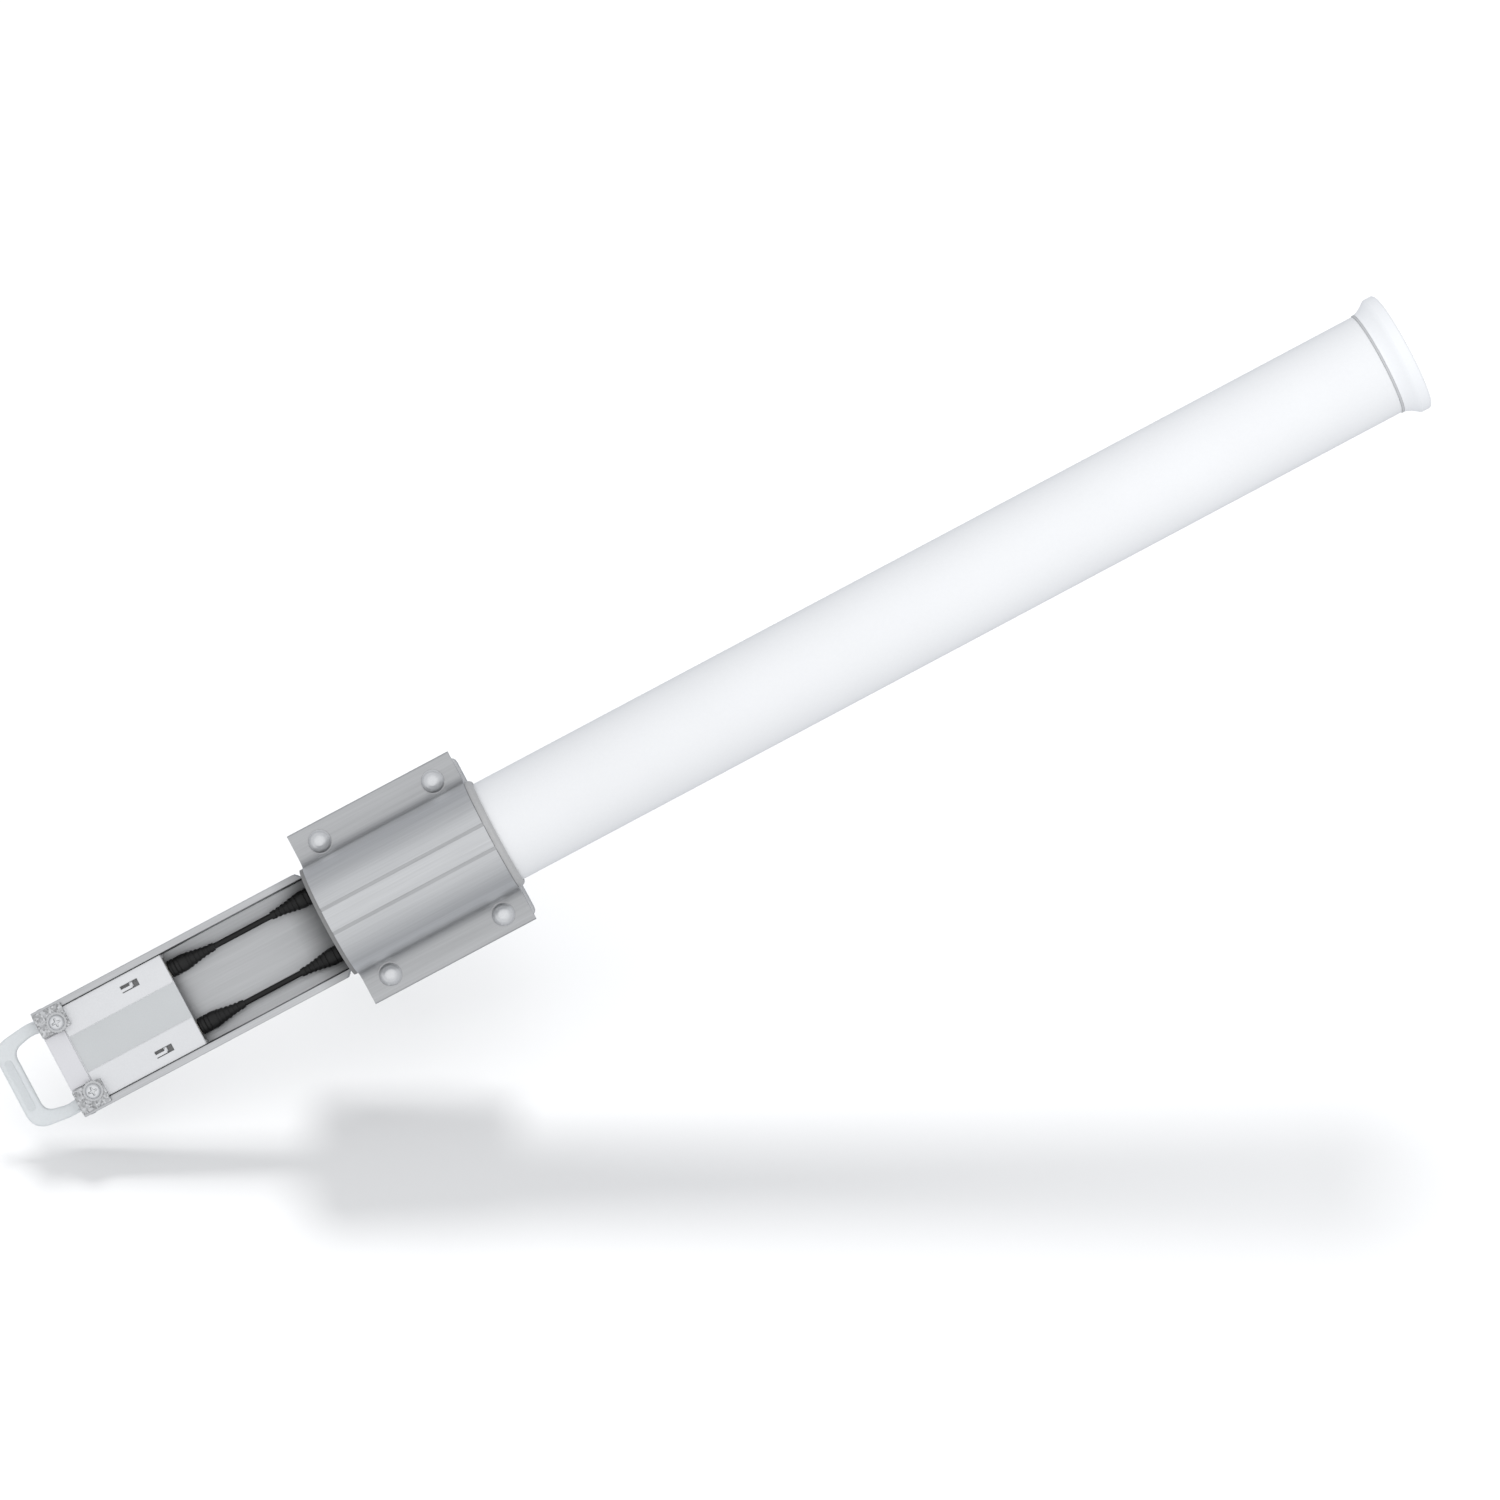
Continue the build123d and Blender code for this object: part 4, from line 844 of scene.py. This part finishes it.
# %% Jaw nuts and washers
for level in ("lower", "upper"):
    low, high = box(f"{level}_jaw_nuts")
    near, far = low[1], high[1]
    flats, washer_r = 10.0, 6.5
    z = (low[2] + high[2]) / 2
    t = np.linspace(near, far, 13)
    mouth, bore = shank_r + 0.35, shank_r + 0.08
    blank = np.vstack([[(mouth, near), (4.0, near)], level_run(BLANK_R, t),
                       [(4.0, far), (mouth, far), (bore, far - 0.4), (bore, near + 0.4)]])
    nuts = [turned(blank, (sx * bolt_x, 0, z), "Y", 72, shape=six_sided(flats, near, far)) for sx in (-1, 1)]
    piece(f"{level}_nuts", nuts, "steel", [f"{level}_jaw_nuts"], f"{level}_clamp")
    low, high = box(f"{level}_jaw_washers")
    ring = rectangle(shank_r + 0.2, washer_r, low[1], high[1], 0.3)
    washers = [turned(ring, (sx * bolt_x, 0, z), "Y", 64) for sx in (-1, 1)]
    piece(f"{level}_washers", washers, "steel", [f"{level}_jaw_washers"], f"{level}_clamp")

# %% [markdown]
# ## Jaws
# Each jaw is a casting: a block with a round seat for the mast, and a flat ear on either side with a rounded
# end and a hole for its bolt. A boolean could join them, but it leaves ragged faces. Closed slabs that
# overlap look the same and stay clean, as long as no two faces share a plane, so the ears' sides lie a hair
# behind the block's. The seat is an arc of the mast's radius, and a short curve leads from the block to the
# ears.

# %% Jaws
mast_r = 25.0
cove_r = 3.0       # the curve between the block and an ear
ear_inner = 18.0   # where the ears start, inside the block
step = 0.15        # how far an ear's sides lie behind the block's
for level in ("lower", "upper"):
    low, high = box(f"{level}_jaw")
    half, near, far = high[0], low[1], high[1]
    low_z, high_z = low[2], high[2]
    ear, block = far - 8.0, 22.15
    turn = np.radians(np.linspace(-50.0, 50.0, 41))
    seat = np.stack([mast_r * np.sin(turn), mast_r * np.cos(turn)], axis=1)
    cove = np.radians(np.linspace(0.0, 90.0, 8))
    curve = np.stack([block + cove_r * (1 - np.cos(cove)), ear - cove_r * (1 - np.sin(cove))], axis=1)
    right_side = np.vstack([[(block, near)], curve, [(block + cove_r, far - 0.05)]])
    left_side = right_side[::-1] * (-1, 1)
    casting = [slab([np.vstack([seat, right_side, left_side])], low_z, high_z, 0.5, across="Z")]
    for side, corners in ((-1, [4.0, 0.5, 0.5, 4.0]), (1, [0.5, 4.0, 4.0, 0.5])):
        ear_outline = on_side(side, ear_inner, half, low_z + step, high_z - step, corners)
        casting.append(slab([ear_outline, circle(side * bolt_x, (low_z + high_z) / 2, 3.3)], ear, far, 0.6))
    piece(f"{level}_jaw_casting", casting, "jaw_aluminium", [f"{level}_jaw"], f"{level}_clamp")

# %% [markdown]
# ## Channel and bracket
# The channel is one extrusion of a U section with rounded lips, sawn off at both ends. A plane with a
# Solidify modifier would have even walls; drawing the section as an outline lets the rails, the floor and
# each corner have their own size. The rails' upper corners are cut at a slant: each point is lowered to a
# line that falls as it goes outward.

# %% Channel
low, high = box("channel")
half, rail_front, back = high[0], low[1], high[1]
low_z, high_z = low[2], high[2]
rail, floor_thick, slant = 3.7, 2.5, 4.0
section = softened([(-half, rail_front), (-half + rail, rail_front), (-half + rail, back - floor_thick),
                    (half - rail, back - floor_thick), (half - rail, rail_front), (half, rail_front),
                    (half, back), (-half, back)], [0.6, 0.6, 0.8, 0.8, 0.6, 0.6, 1.5, 1.5])
channel_points, channel_faces = slab([section], low_z, high_z, 0.35, across="Z")
cut_line = high_z * MM - np.maximum(np.abs(channel_points[:, 0]) - (half - slant) * MM, 0)
channel_points[:, 2] = np.minimum(channel_points[:, 2], cut_line)
piece("channel_extrusion", [(channel_points, channel_faces)], "channel_aluminium", ["channel"])

# %% [markdown]
# The bracket is a bent plate under the saddle. Its foot is screwed up into the saddle, and its leg holds the
# channel's back with two button-head screws. The bend is an outline seen from the side, given its width by a
# slab across X, because a bent plate keeps one section over its whole width.

# %% Bracket and its screws
low, high = box("channel_bracket")
leg_near, foot_far = low[1], high[1]
leg_low, foot_high = low[2], high[2]
leg_thick, foot_thick, leg_half, foot_half = 4.0, 5.0, 14.0, high[0]
leg_far, foot_low = leg_near + leg_thick, foot_high - foot_thick
bent = softened([(leg_near, leg_low), (leg_far, leg_low), (leg_far, foot_low + step),
                 (foot_far - step, foot_low + step), (foot_far - step, foot_high - step),
                 (leg_near, foot_high - step)], [1.0, 1.0, 2.0, 1.0, 0.5, 0.5])
wide = rectangle(leg_near + step, foot_far, foot_low, foot_high, 0.5)
bracket = [slab([bent], -leg_half, leg_half, 0.5, across="X"),
           slab([wide], -foot_half, foot_half, 0.8, across="X")]
piece("bent_bracket", bracket, "jaw_aluminium", ["channel_bracket"])

low, high = box("channel_screws")
button_r, socket_r = 3.6, 1.3
screw_off, screw_up = high[0] - button_r, (low[2] + high[2]) / 2
seat_y = back + leg_thick
button = softened([(HUB, seat_y + 1.0), (socket_r, seat_y + 1.0), (socket_r, seat_y + 2.2),
                   (button_r - 0.4, seat_y + 2.2), (button_r, seat_y + 1.5), (button_r, seat_y),
                   (HUB, seat_y)], 0.3, closed=False)
heads = [turned(button, (side * screw_off, 0, screw_up), "Y", 96, closed=False) for side in (-1, 1)]
piece("bracket_to_channel_screws", heads, "steel", ["channel_screws"])

# %% [markdown]
# ## Jumpers
# Each jumper is a thin black cable with a moulded boot at both ends. A curve with a round bevel suits a cable
# that bends; these are too short and stiff for that, so they are turned round a straight line, as their boots
# are. A boot has a full-width grip with three shallow grooves, then narrows to the cable; small rings on the
# narrowing part let it bend.

# %% Boots and cables
for side in ("left", "right"):
    low, high = box(f"jumper_cable_{side}")
    x, y = (low[0] + high[0]) / 2, (low[1] + high[1]) / 2
    cable_low, cable_high = low[2], high[2]
    cable_r = (high[0] - low[0]) / 2
    place = (x, y, 0.0)
    jacket = [(HUB, cable_low), (cable_r - 0.2, cable_low), (cable_r, cable_low + 0.2),
              (cable_r, cable_high - 0.2), (cable_r - 0.2, cable_high), (HUB, cable_high)]
    cable = turned(jacket, place, around=40, closed=False)
    piece(f"jumper_{side}", [cable], "cable_black", [f"jumper_cable_{side}"])
    for level, way in (("lower", 1), ("upper", -1)):
        low_z, high_z = span(f"boot_{level}_{side}")
        start = low_z if way == 1 else high_z
        grip, long, wide, tip = 8.0, high_z - low_z, 4.5, 2.1
        first_groove, groove_pitch, groove_deep = 1.4, 2.1, 0.30
        # along the grip, the radius dips where a cosine of the length is near its top
        s = np.linspace(0.5, grip, 46)
        wave = np.cos((s - first_groove) / groove_pitch * 2 * np.pi)
        grooves = wide - groove_deep * np.clip(3 * wave - 2, 0, 1) * (s > 1.0) * (s < grip - 0.8)
        # past the grip, it eases to the tip by (1 - u)^2 (1 + 0.9 u), with seven low rings from a sine of u
        u = np.linspace(0.02, 1, 84)
        ease = (1 - u) ** 2 * (1 + 0.9 * u)
        rings = 0.16 * np.clip(np.sin(u * 7 * 2 * np.pi) * 2, -1, 1) * (u > 0.12) * (u < 0.93)
        narrowing = tip + (wide - tip) * ease + rings
        body = np.vstack([[(cable_r, 0.0), (wide - 0.6, 0.0), (wide - 0.15, 0.15)],
                          np.stack([grooves, s], axis=1),
                          np.stack([narrowing, grip + (long - grip) * u], axis=1), [(cable_r, long)]])
        body[:, 1] = start + way * body[:, 1]
        boot = turned(body, place, around=56)
        piece(f"boot_{level}_{side}_moulded", [boot], "boot_black", [f"boot_{level}_{side}"])

# %% [markdown]
# The coupling nut at each end of a jumper is a small hexagon with a knurled collar. The teeth could be an
# array of little blocks, but a cosine of the turn cuts them all into the same surface as the flats. Each nut
# rides on its own body, since it turns by itself.

# %% Coupling nuts
connector_flats = 8.0
collar_r, nut_long, hexagon_long = 3.85, 7.6, 5.0


def knurled(low, high):
    """A hexagon with chamfered ends, and fine teeth on the round collar: 0.1 mm times a cosine, 36 to a
    turn."""
    cut = six_sided(connector_flats, low, high)

    def shape(radius, height, turn):
        teeth = collar_r - 0.05 + 0.10 * np.cos(36 * turn)
        return np.where(np.abs(radius - collar_r) < 0.01, teeth, cut(radius, height, turn))
    return shape


for level, way in (("lower", 1), ("upper", -1)):
    for side in ("left", "right"):
        name = f"coupling_nut_{level}_{side}"
        low, high = box(name)
        place = ((low[0] + high[0]) / 2, (low[1] + high[1]) / 2, 0.0)
        t = np.linspace(0.0, nut_long, 25)
        outside_wall = np.stack([np.where(t > hexagon_long, collar_r, BLANK_R), t], axis=1)
        bore = [(3.4, nut_long), (1.66, nut_long), (1.66, 6.6), (3.24, 6.6), (3.24, 0.3), (3.4, 0.0)]
        blank = np.vstack([outside_wall, bore])
        mouth = low[2] if way == 1 else high[2]
        blank[:, 1] = mouth + way * blank[:, 1]
        piece(f"{name}_cut", [turned(blank, place, around=144, shape=knurled(low[2], high[2]))],
              "nut_brass", [name], name)

# %% [markdown]
# The jacks hang from the base plug, with a centre pin in their open mouths. Their thread is wound in the same
# way as the bolts', with a finer pitch.

# %% Jacks
thread_r = 3.17
wound_thread = threaded(thread_r, 0.72, 0.22)


def make_jack(side):
    """A jack's threaded barrel, open at its lower end, and the centre pin in its mouth."""
    low, high = box(f"rf_jack_{side}")
    place = ((low[0] + high[0]) / 2, (low[1] + high[1]) / 2, 0.0)
    mouth, back = low[2], high[2]
    t = np.arange(mouth + 0.4, back - 2.2, 0.09)
    barrel = np.vstack([[(2.2, mouth), (2.9, mouth)], level_run(thread_r, t),
                        [(3.1, back - 2.0), (4.7, back - 2.0), (5.0, back - 1.7), (5.0, back - 0.3),
                         (4.7, back), (HUB, back), (HUB, back - 0.2), (2.2, mouth + 9.0)]])
    pin = [(HUB, mouth + 1.2), (0.35, mouth + 1.4), (0.5, mouth + 1.8), (0.5, mouth + 9.0)]
    surfaces = [turned(barrel, place, around=64, shape=wound_thread),
                turned(pin, place, around=16, closed=False)]
    piece(f"jack_{side}", surfaces, "brass", [f"rf_jack_{side}"])


print("jack thread, mm:", round(2 * thread_r, 2), "across")

# %% [markdown]
# The parking posts hold the lower plugs while no radio is fitted. A post has the same barrel as a jack, but
# it is closed, and its foot is a hexagon behind the wall that it passes through. One shape function does
# both, since the foot is the only part that is wider than a given radius.

# %% Parking posts
post_foot_r = 5.0    # only the post's hexagon is wider than this


def post_shape(low, high):
    """Winds the thread on a post's barrel, and cuts its wide foot to a hexagon."""
    cut = six_sided(connector_flats, low, high)

    def shape(radius, height, turn):
        barrel = wound_thread(np.minimum(radius, post_foot_r), height, turn)
        return np.where(radius > post_foot_r, cut(radius, height, turn), barrel)
    return shape


def make_post(side):
    """A parking post: a hexagonal foot, a threaded barrel and a shallow mouth on top."""
    low, high = box(f"parking_post_{side}")
    place = ((low[0] + high[0]) / 2, (low[1] + high[1]) / 2, 0.0)
    foot, mouth = low[2], high[2]
    hexagon_high = foot + 2.5
    t = np.arange(hexagon_high + 0.2, mouth - 0.4, 0.09)
    hexagon = np.linspace(foot, hexagon_high, 9)
    post = np.vstack([[(HUB, foot), (3.2, foot)], level_run(BLANK_R, hexagon), [(3.1, hexagon_high)],
                      level_run(thread_r, t),
                      [(2.9, mouth), (2.2, mouth), (2.0, mouth - 6.0), (HUB, mouth - 6.0)]])
    barrel = turned(post, place, around=72, closed=False, shape=post_shape(foot, hexagon_high))
    piece(f"post_{side}", [barrel], "brass", [f"parking_post_{side}"])


for side in ("left", "right"):
    make_jack(side)
    make_post(side)

# %% [markdown]
# A thin nut inside the base plug holds each jack. It is made as the jaw nuts are, with the connector's
# smaller flats.

# %% Jam nuts
low, high = box("jack_nuts")
near, far = low[2], high[2]
t = np.linspace(near, far, 9)
blank = np.vstack([[(3.3, near)], level_run(BLANK_R, t),
                   [(3.3, far), (3.24, far - 0.2), (3.24, near + 0.2)]])
jack_x, jack_y = middle("rf_jack_right")[:2]
six_flats = six_sided(connector_flats, near, far)
nuts = [turned(blank, (sx * jack_x, jack_y, 0), around=72, shape=six_flats) for sx in (-1, 1)]
piece("jam_nuts", nuts, "steel", ["jack_nuts"])

# %% [markdown]
# ## Radio mount
# The radio mount is a white moulding that a radio clips on. Its face has a sunken middle panel, two raised
# side bands with a snap slot each, a lavender strip across the lower end and two corner pads. It could be one
# box cut and raised by extrusions, but then every rim would need a bevel of its own. Each level is a slab
# instead, because a slab has its rounded rim from the start.

# %% Radio mount: measures
low, high = box("radio_mount")
mount_half = high[0]
mount_low, mount_high = low[2], high[2]
mount_front, mount_back = low[1], high[1]
skin_front = mount_front + 1.0
skin_back = skin_front + 2.5
panel_half, strip_high, slot_up = 10.0, 11.5, 50.5
skirt = 2.2
inner = mount_half - skirt
trim, trim_high = mount_half - 0.05, mount_high - 0.05
wall_front = skin_back - 0.2
pad_high = mount_low + 16.0
clear_r = 2.2
slot_x = inner - 4.55
slot_z = mount_low + slot_up
plate_low, plate_high = box("corner_plates")
plate_out = plate_high[0]
plate_in = plate_out - 13.0
screw_x = box("corner_screws")[1][0] - 4.0
screw_z = middle("corner_screws")[2]
wall_high = mount_high - 9.5
wall_low = wall_high - 2.5
print("radio mount, mm:", round(2 * mount_half, 1), "wide,", round(mount_high - mount_low, 1), "long")

# %% [markdown]
# A snap slot is an opening in a side band with a hooked tongue left standing in it. Cutting it afterwards
# would break the flat face into slivers, so its outline is a hole that the slab is filled around.

# %% Slots
def slot_holes(side):
    """The opening round a slot's hooked tongue."""
    x, z = side * slot_x, slot_z
    return softened([(x - 1.8, z - 4.7), (x - 0.2, z - 4.7), (x - 0.2, z + 0.2), (x - 1.6, z + 0.2),
                     (x - 1.6, z + 1.8), (x + 0.8, z + 1.8), (x + 0.8, z + 1.2), (x + 1.4, z + 1.2),
                     (x + 1.4, z - 4.7), (x + 1.8, z - 4.7), (x + 1.8, z + 4.75), (x - 1.8, z + 4.75)],
                    0.15, steps=3)


print(len(slot_holes(1)), "points round a slot")

# %% [markdown]
# The skin runs over the whole face. The side bands and the pads are thin slabs on it, and the skirts are deep
# ones behind it. They stop 0.05 mm short of the skin's edges, so that no two faces share a plane.

# %% Face and skirts
holes = [slot_holes(-1), slot_holes(1)]
screws = [circle(sx * screw_x, screw_z, clear_r) for sx in (-1, 1)]
relief_back = skin_front + 1.1
face = [slab([rectangle(-mount_half, mount_half, mount_low, mount_high, 0.6), *holes, *screws],
             skin_front + 0.5, skin_back, 0.25)]
hinge_clear = mount_low + 6.9
for side in (-1, 1):
    side_band = on_side(side, panel_half, trim, mount_low + strip_high, trim_high, 0.9)
    pad = on_side(side, plate_in, trim, mount_low + 0.05, pad_high, 0.4)
    skirt_wall = on_side(side, inner, trim, hinge_clear, trim_high, 0.3)
    face += [slab([side_band, slot_holes(side)], skin_front, relief_back, 0.5, 0.1),
             slab([pad, circle(side * screw_x, screw_z, clear_r)], mount_front, relief_back, 0.15, 0.1),
             slab([skirt_wall], wall_front, mount_back, 0.25)]
print(len(face), "slabs in the face and the skirts")

# %% [markdown]
# An end wall carries the parking posts, and three ribs stiffen the skin between the wall and the hinge. Both
# stand on edge behind the skin, so they are slabs across Z.

# %% End wall and ribs
post_x, post_y = middle("parking_post_right")[:2]
end_wall = slab([rectangle(-inner - 0.1, inner + 0.1, wall_front, mount_back, 0.2),
                 *[circle(sx * post_x, post_y, 3.22) for sx in (-1, 1)]],
                wall_low, wall_high, 0.2, across="Z")
rib_half = 0.6
ribs = [slab([rectangle(x - rib_half, x + rib_half, wall_front, skin_back + 3.2, 0.15)],
             hinge_clear + 8.0, wall_low - 6.0, 0.2, across="Z") for x in (-8.0, 0.0, 8.0)]
piece("radio_mount_moulding", face + [end_wall] + ribs, "mount_white", ["radio_mount"])

# %% [markdown]
# The strip and the panel have their own tints, so they are pieces of their own. Dark plates behind the slots
# stand for the latch parts that would be seen through them.

# %% Strip, slot backs and panel
strip = slab([rectangle(-plate_in + 0.5, plate_in - 0.5, mount_low + 0.3, mount_low + strip_high - 0.3, 1.2)],
             skin_front - 0.8, relief_back, 0.4, 0.1)
piece("radio_mount_strip", [strip], "mount_white", ["radio_mount"], paint="strip_lavender")
backs = [slab([rectangle(side * slot_x - 2.9, side * slot_x + 2.9, slot_z - 5.8, slot_z + 5.8, 0.6)],
              skin_back - 0.1, skin_back + 0.9, 0.2) for side in (-1, 1)]
piece("slot_backs", backs, "mount_white", ["radio_mount"], paint="plug_plastic")
panel_edge = panel_half - 0.2
panel = slab([rectangle(-panel_edge, panel_edge, mount_low + strip_high + 0.2, mount_high - 0.1, 0.4)],
             skin_front + 0.42, skin_front + 0.8, 0.06)
piece("radio_mount_panel", [panel], "mount_white", ["radio_mount"], paint="panel_blue_white")

# %% [markdown]
# ## Corner hardware
# Two stamped plates hold the radio mount's lower corners to the rails, with a screw each on a washer with
# fine teeth. The teeth would be too small for separate blocks, so the washer's rim goes in and out by a
# cosine of the turn.

# %% Corner plates and washers
plate_front, rail_front = plate_low[1], plate_high[1]
plates = [slab([on_side(side, plate_in, plate_out, mount_low, pad_high, 1.0),
                circle(side * screw_x, screw_z, clear_r)], plate_front, rail_front, 0.3, 0.1)
          for side in (-1, 1)]
piece("corner_plate_pair", plates, "corner_metal", ["corner_plates"])

head_seat = plate_front - 0.8


def toothed(radius, height, turn):
    """A washer with 20 teeth: the rim's radius goes in and out by a cosine of the turn."""
    return np.where(radius > 4.9, radius - 0.18 + 0.18 * np.cos(20 * turn), radius)


ring = rectangle(clear_r, 5.4, head_seat, plate_front, 0.2)
piece("toothed_washers", [turned(ring, (side * screw_x, 0, screw_z), "Y", 160, shape=toothed)
                          for side in (-1, 1)], "steel", ["corner_washers"])

# %% [markdown]
# The screws have pan heads with a cross recess. A boolean of a cross from a dome is the usual way, but it
# leaves long thin faces that shade badly. Here the head is one grid: its height falls with the distance from
# the middle, and drops inside a cross whose arms narrow outwards.

# %% Cross-head screws
def recessed_head(x, z, seat, head_r=4.0, head_h=2.4, rows=40, around=96):
    """A pan head with a cross recess, which faces -Y.

    At a part s of the head's radius its height is head_h * sqrt(1 - (0.985 s)^4.5), less 1.45 mm inside
    the cross. The cross's arms are 0.62 mm either side of their middles, less a tenth of the distance
    from the screw's axis."""
    s = np.linspace(0.0, 1.0, rows)[:, None]
    turn = (np.arange(around) / around * 2 * np.pi)[None, :]
    across, up = head_r * s * np.cos(turn), head_r * s * np.sin(turn)
    dome = head_h * np.sqrt(np.clip(1 - (s * 0.985) ** 4.5, 0, 1))
    near, away = np.minimum(abs(across), abs(up)), np.maximum(abs(across), abs(up))
    half = 0.62 - 0.10 * away
    arm = np.clip((half - near) / 0.10 + 0.5, 0, 1) * np.clip((2.25 - away) / 0.15 + 0.5, 0, 1)
    y = seat - (dome - 1.45 * arm)
    crown = np.stack([x + across, y, z + up], axis=-1)
    under = [np.stack([x + r * np.cos(turn), seat + 0 * turn, z + r * np.sin(turn)], axis=-1)
             for r in (head_r, 0.0)]
    return grid(np.vstack([crown, *under]) * MM)


channel_back = box("channel")[1][1]
heads = [recessed_head(side * screw_x, screw_z, head_seat) for side in (-1, 1)]
tip = channel_back + 0.7
t = np.arange(head_seat + 3.0, tip - 0.4, 0.1)
shank = np.vstack([[(HUB, head_seat), (1.95, head_seat)], level_run(1.96, t),
                   [(1.5, tip), (HUB, tip)]])
shanks = [turned(shank, (side * screw_x, 0, screw_z), "Y", 40, closed=False,
                 shape=threaded(1.96, 0.7, 0.2)) for side in (-1, 1)]
piece("cross_head_screws", heads + shanks, "bolt_steel", ["corner_screws"])

# %% [markdown]
# ## Release loop
# The loop is one moulding: a band bent in a rounded U, a hinge barrel that turns on a steel pin, and a finger
# that reaches up to the latch. A thick curve could make the band, but its arms are wider than they are deep,
# and they taper. So it is drawn as an outline with a window in it.

# %% Loop outline
low, high = box("release_loop")
hinge_y, hinge_z = middle("hinge_pin")[1:]
loop_half, loop_low = high[0], low[2]
barrel_half = loop_half - 0.85
taper_z = mount_low - 6.0
outline = softened([(-barrel_half, hinge_z), (-loop_half, taper_z), (-loop_half + 2.5, loop_low),
                    (loop_half - 2.5, loop_low), (loop_half, taper_z), (barrel_half, hinge_z)],
                   [0.3, 3.0, 12.0, 12.0, 3.0, 0.3], steps=10)
arm, window_low, window_high = 6.4, loop_low + 9.6, hinge_z - 3.6
window = softened([(-barrel_half + arm, window_high), (-loop_half + arm, taper_z),
                   (-loop_half + 2.5 + arm, window_low), (loop_half - 2.5 - arm, window_low),
                   (loop_half - arm, taper_z), (barrel_half - arm, window_high)],
                  [1.0, 3.0, 5.6, 5.6, 3.0, 1.0], steps=10)
print(len(outline), "points round the loop")

# %% [markdown]
# The band is a slab with deeply rounded rims and a raised grip. The barrel is turned about X, and the finger
# is a small slab. They ride together on the loop's body.

# %% Release loop
loop_band = slab([outline, window], hinge_y - 2.0, hinge_y + 2.0, 1.3)
grip = slab([rectangle(-14.0, 14.0, loop_low + 2.6, loop_low + 6.6, 1.9)],
            hinge_y - 2.25, hinge_y - 1.5, 0.25)
barrel = turned(rectangle(1.58, 3.0, -barrel_half, barrel_half, 0.35), (0, hinge_y, hinge_z), "X", 48)
finger = slab([rectangle(-5.0, 5.0, hinge_z + 2.4, hinge_z + 10.0, 1.2)], hinge_y - 1.2, hinge_y + 1.2, 0.4)
piece("release_loop_moulding", [loop_band, grip, barrel, finger], "loop_plastic", ["release_loop"],
      "release_loop")

# %% [markdown]
# The pin is a plain steel rod with rounded ends, which stand just proud of the skirts.

# %% Hinge pin
pin_half = size("hinge_pin")[0] / 2 + 0.3
pin = softened([(HUB, -pin_half), (1.5, -pin_half), (1.5, pin_half), (HUB, pin_half)], [0, 0.45, 0.45, 0],
               closed=False)
piece("loop_pin", [turned(pin, (0, hinge_y, hinge_z), "X", 40, closed=False)], "steel", ["hinge_pin"])
print(len(pieces), "pieces made")

# %% [markdown]
# ## What draws the shadow
# The sun's shadow comes from the long front parts only. The jaws, bolts and nuts behind the saddle are left
# out of it, since on the turned floor they would draw a second, separate patch.

# %% Shadow makers
rear = ("jaw", "nuts", "washers", "bolt", "bracket", "channel_screws", "coupling")
for obj in [*pieces.values(), *frame["nodes"].values()]:
    if not obj.hide_render and not any(word in obj.name for word in rear):
        shadow_makers.objects.link(obj)
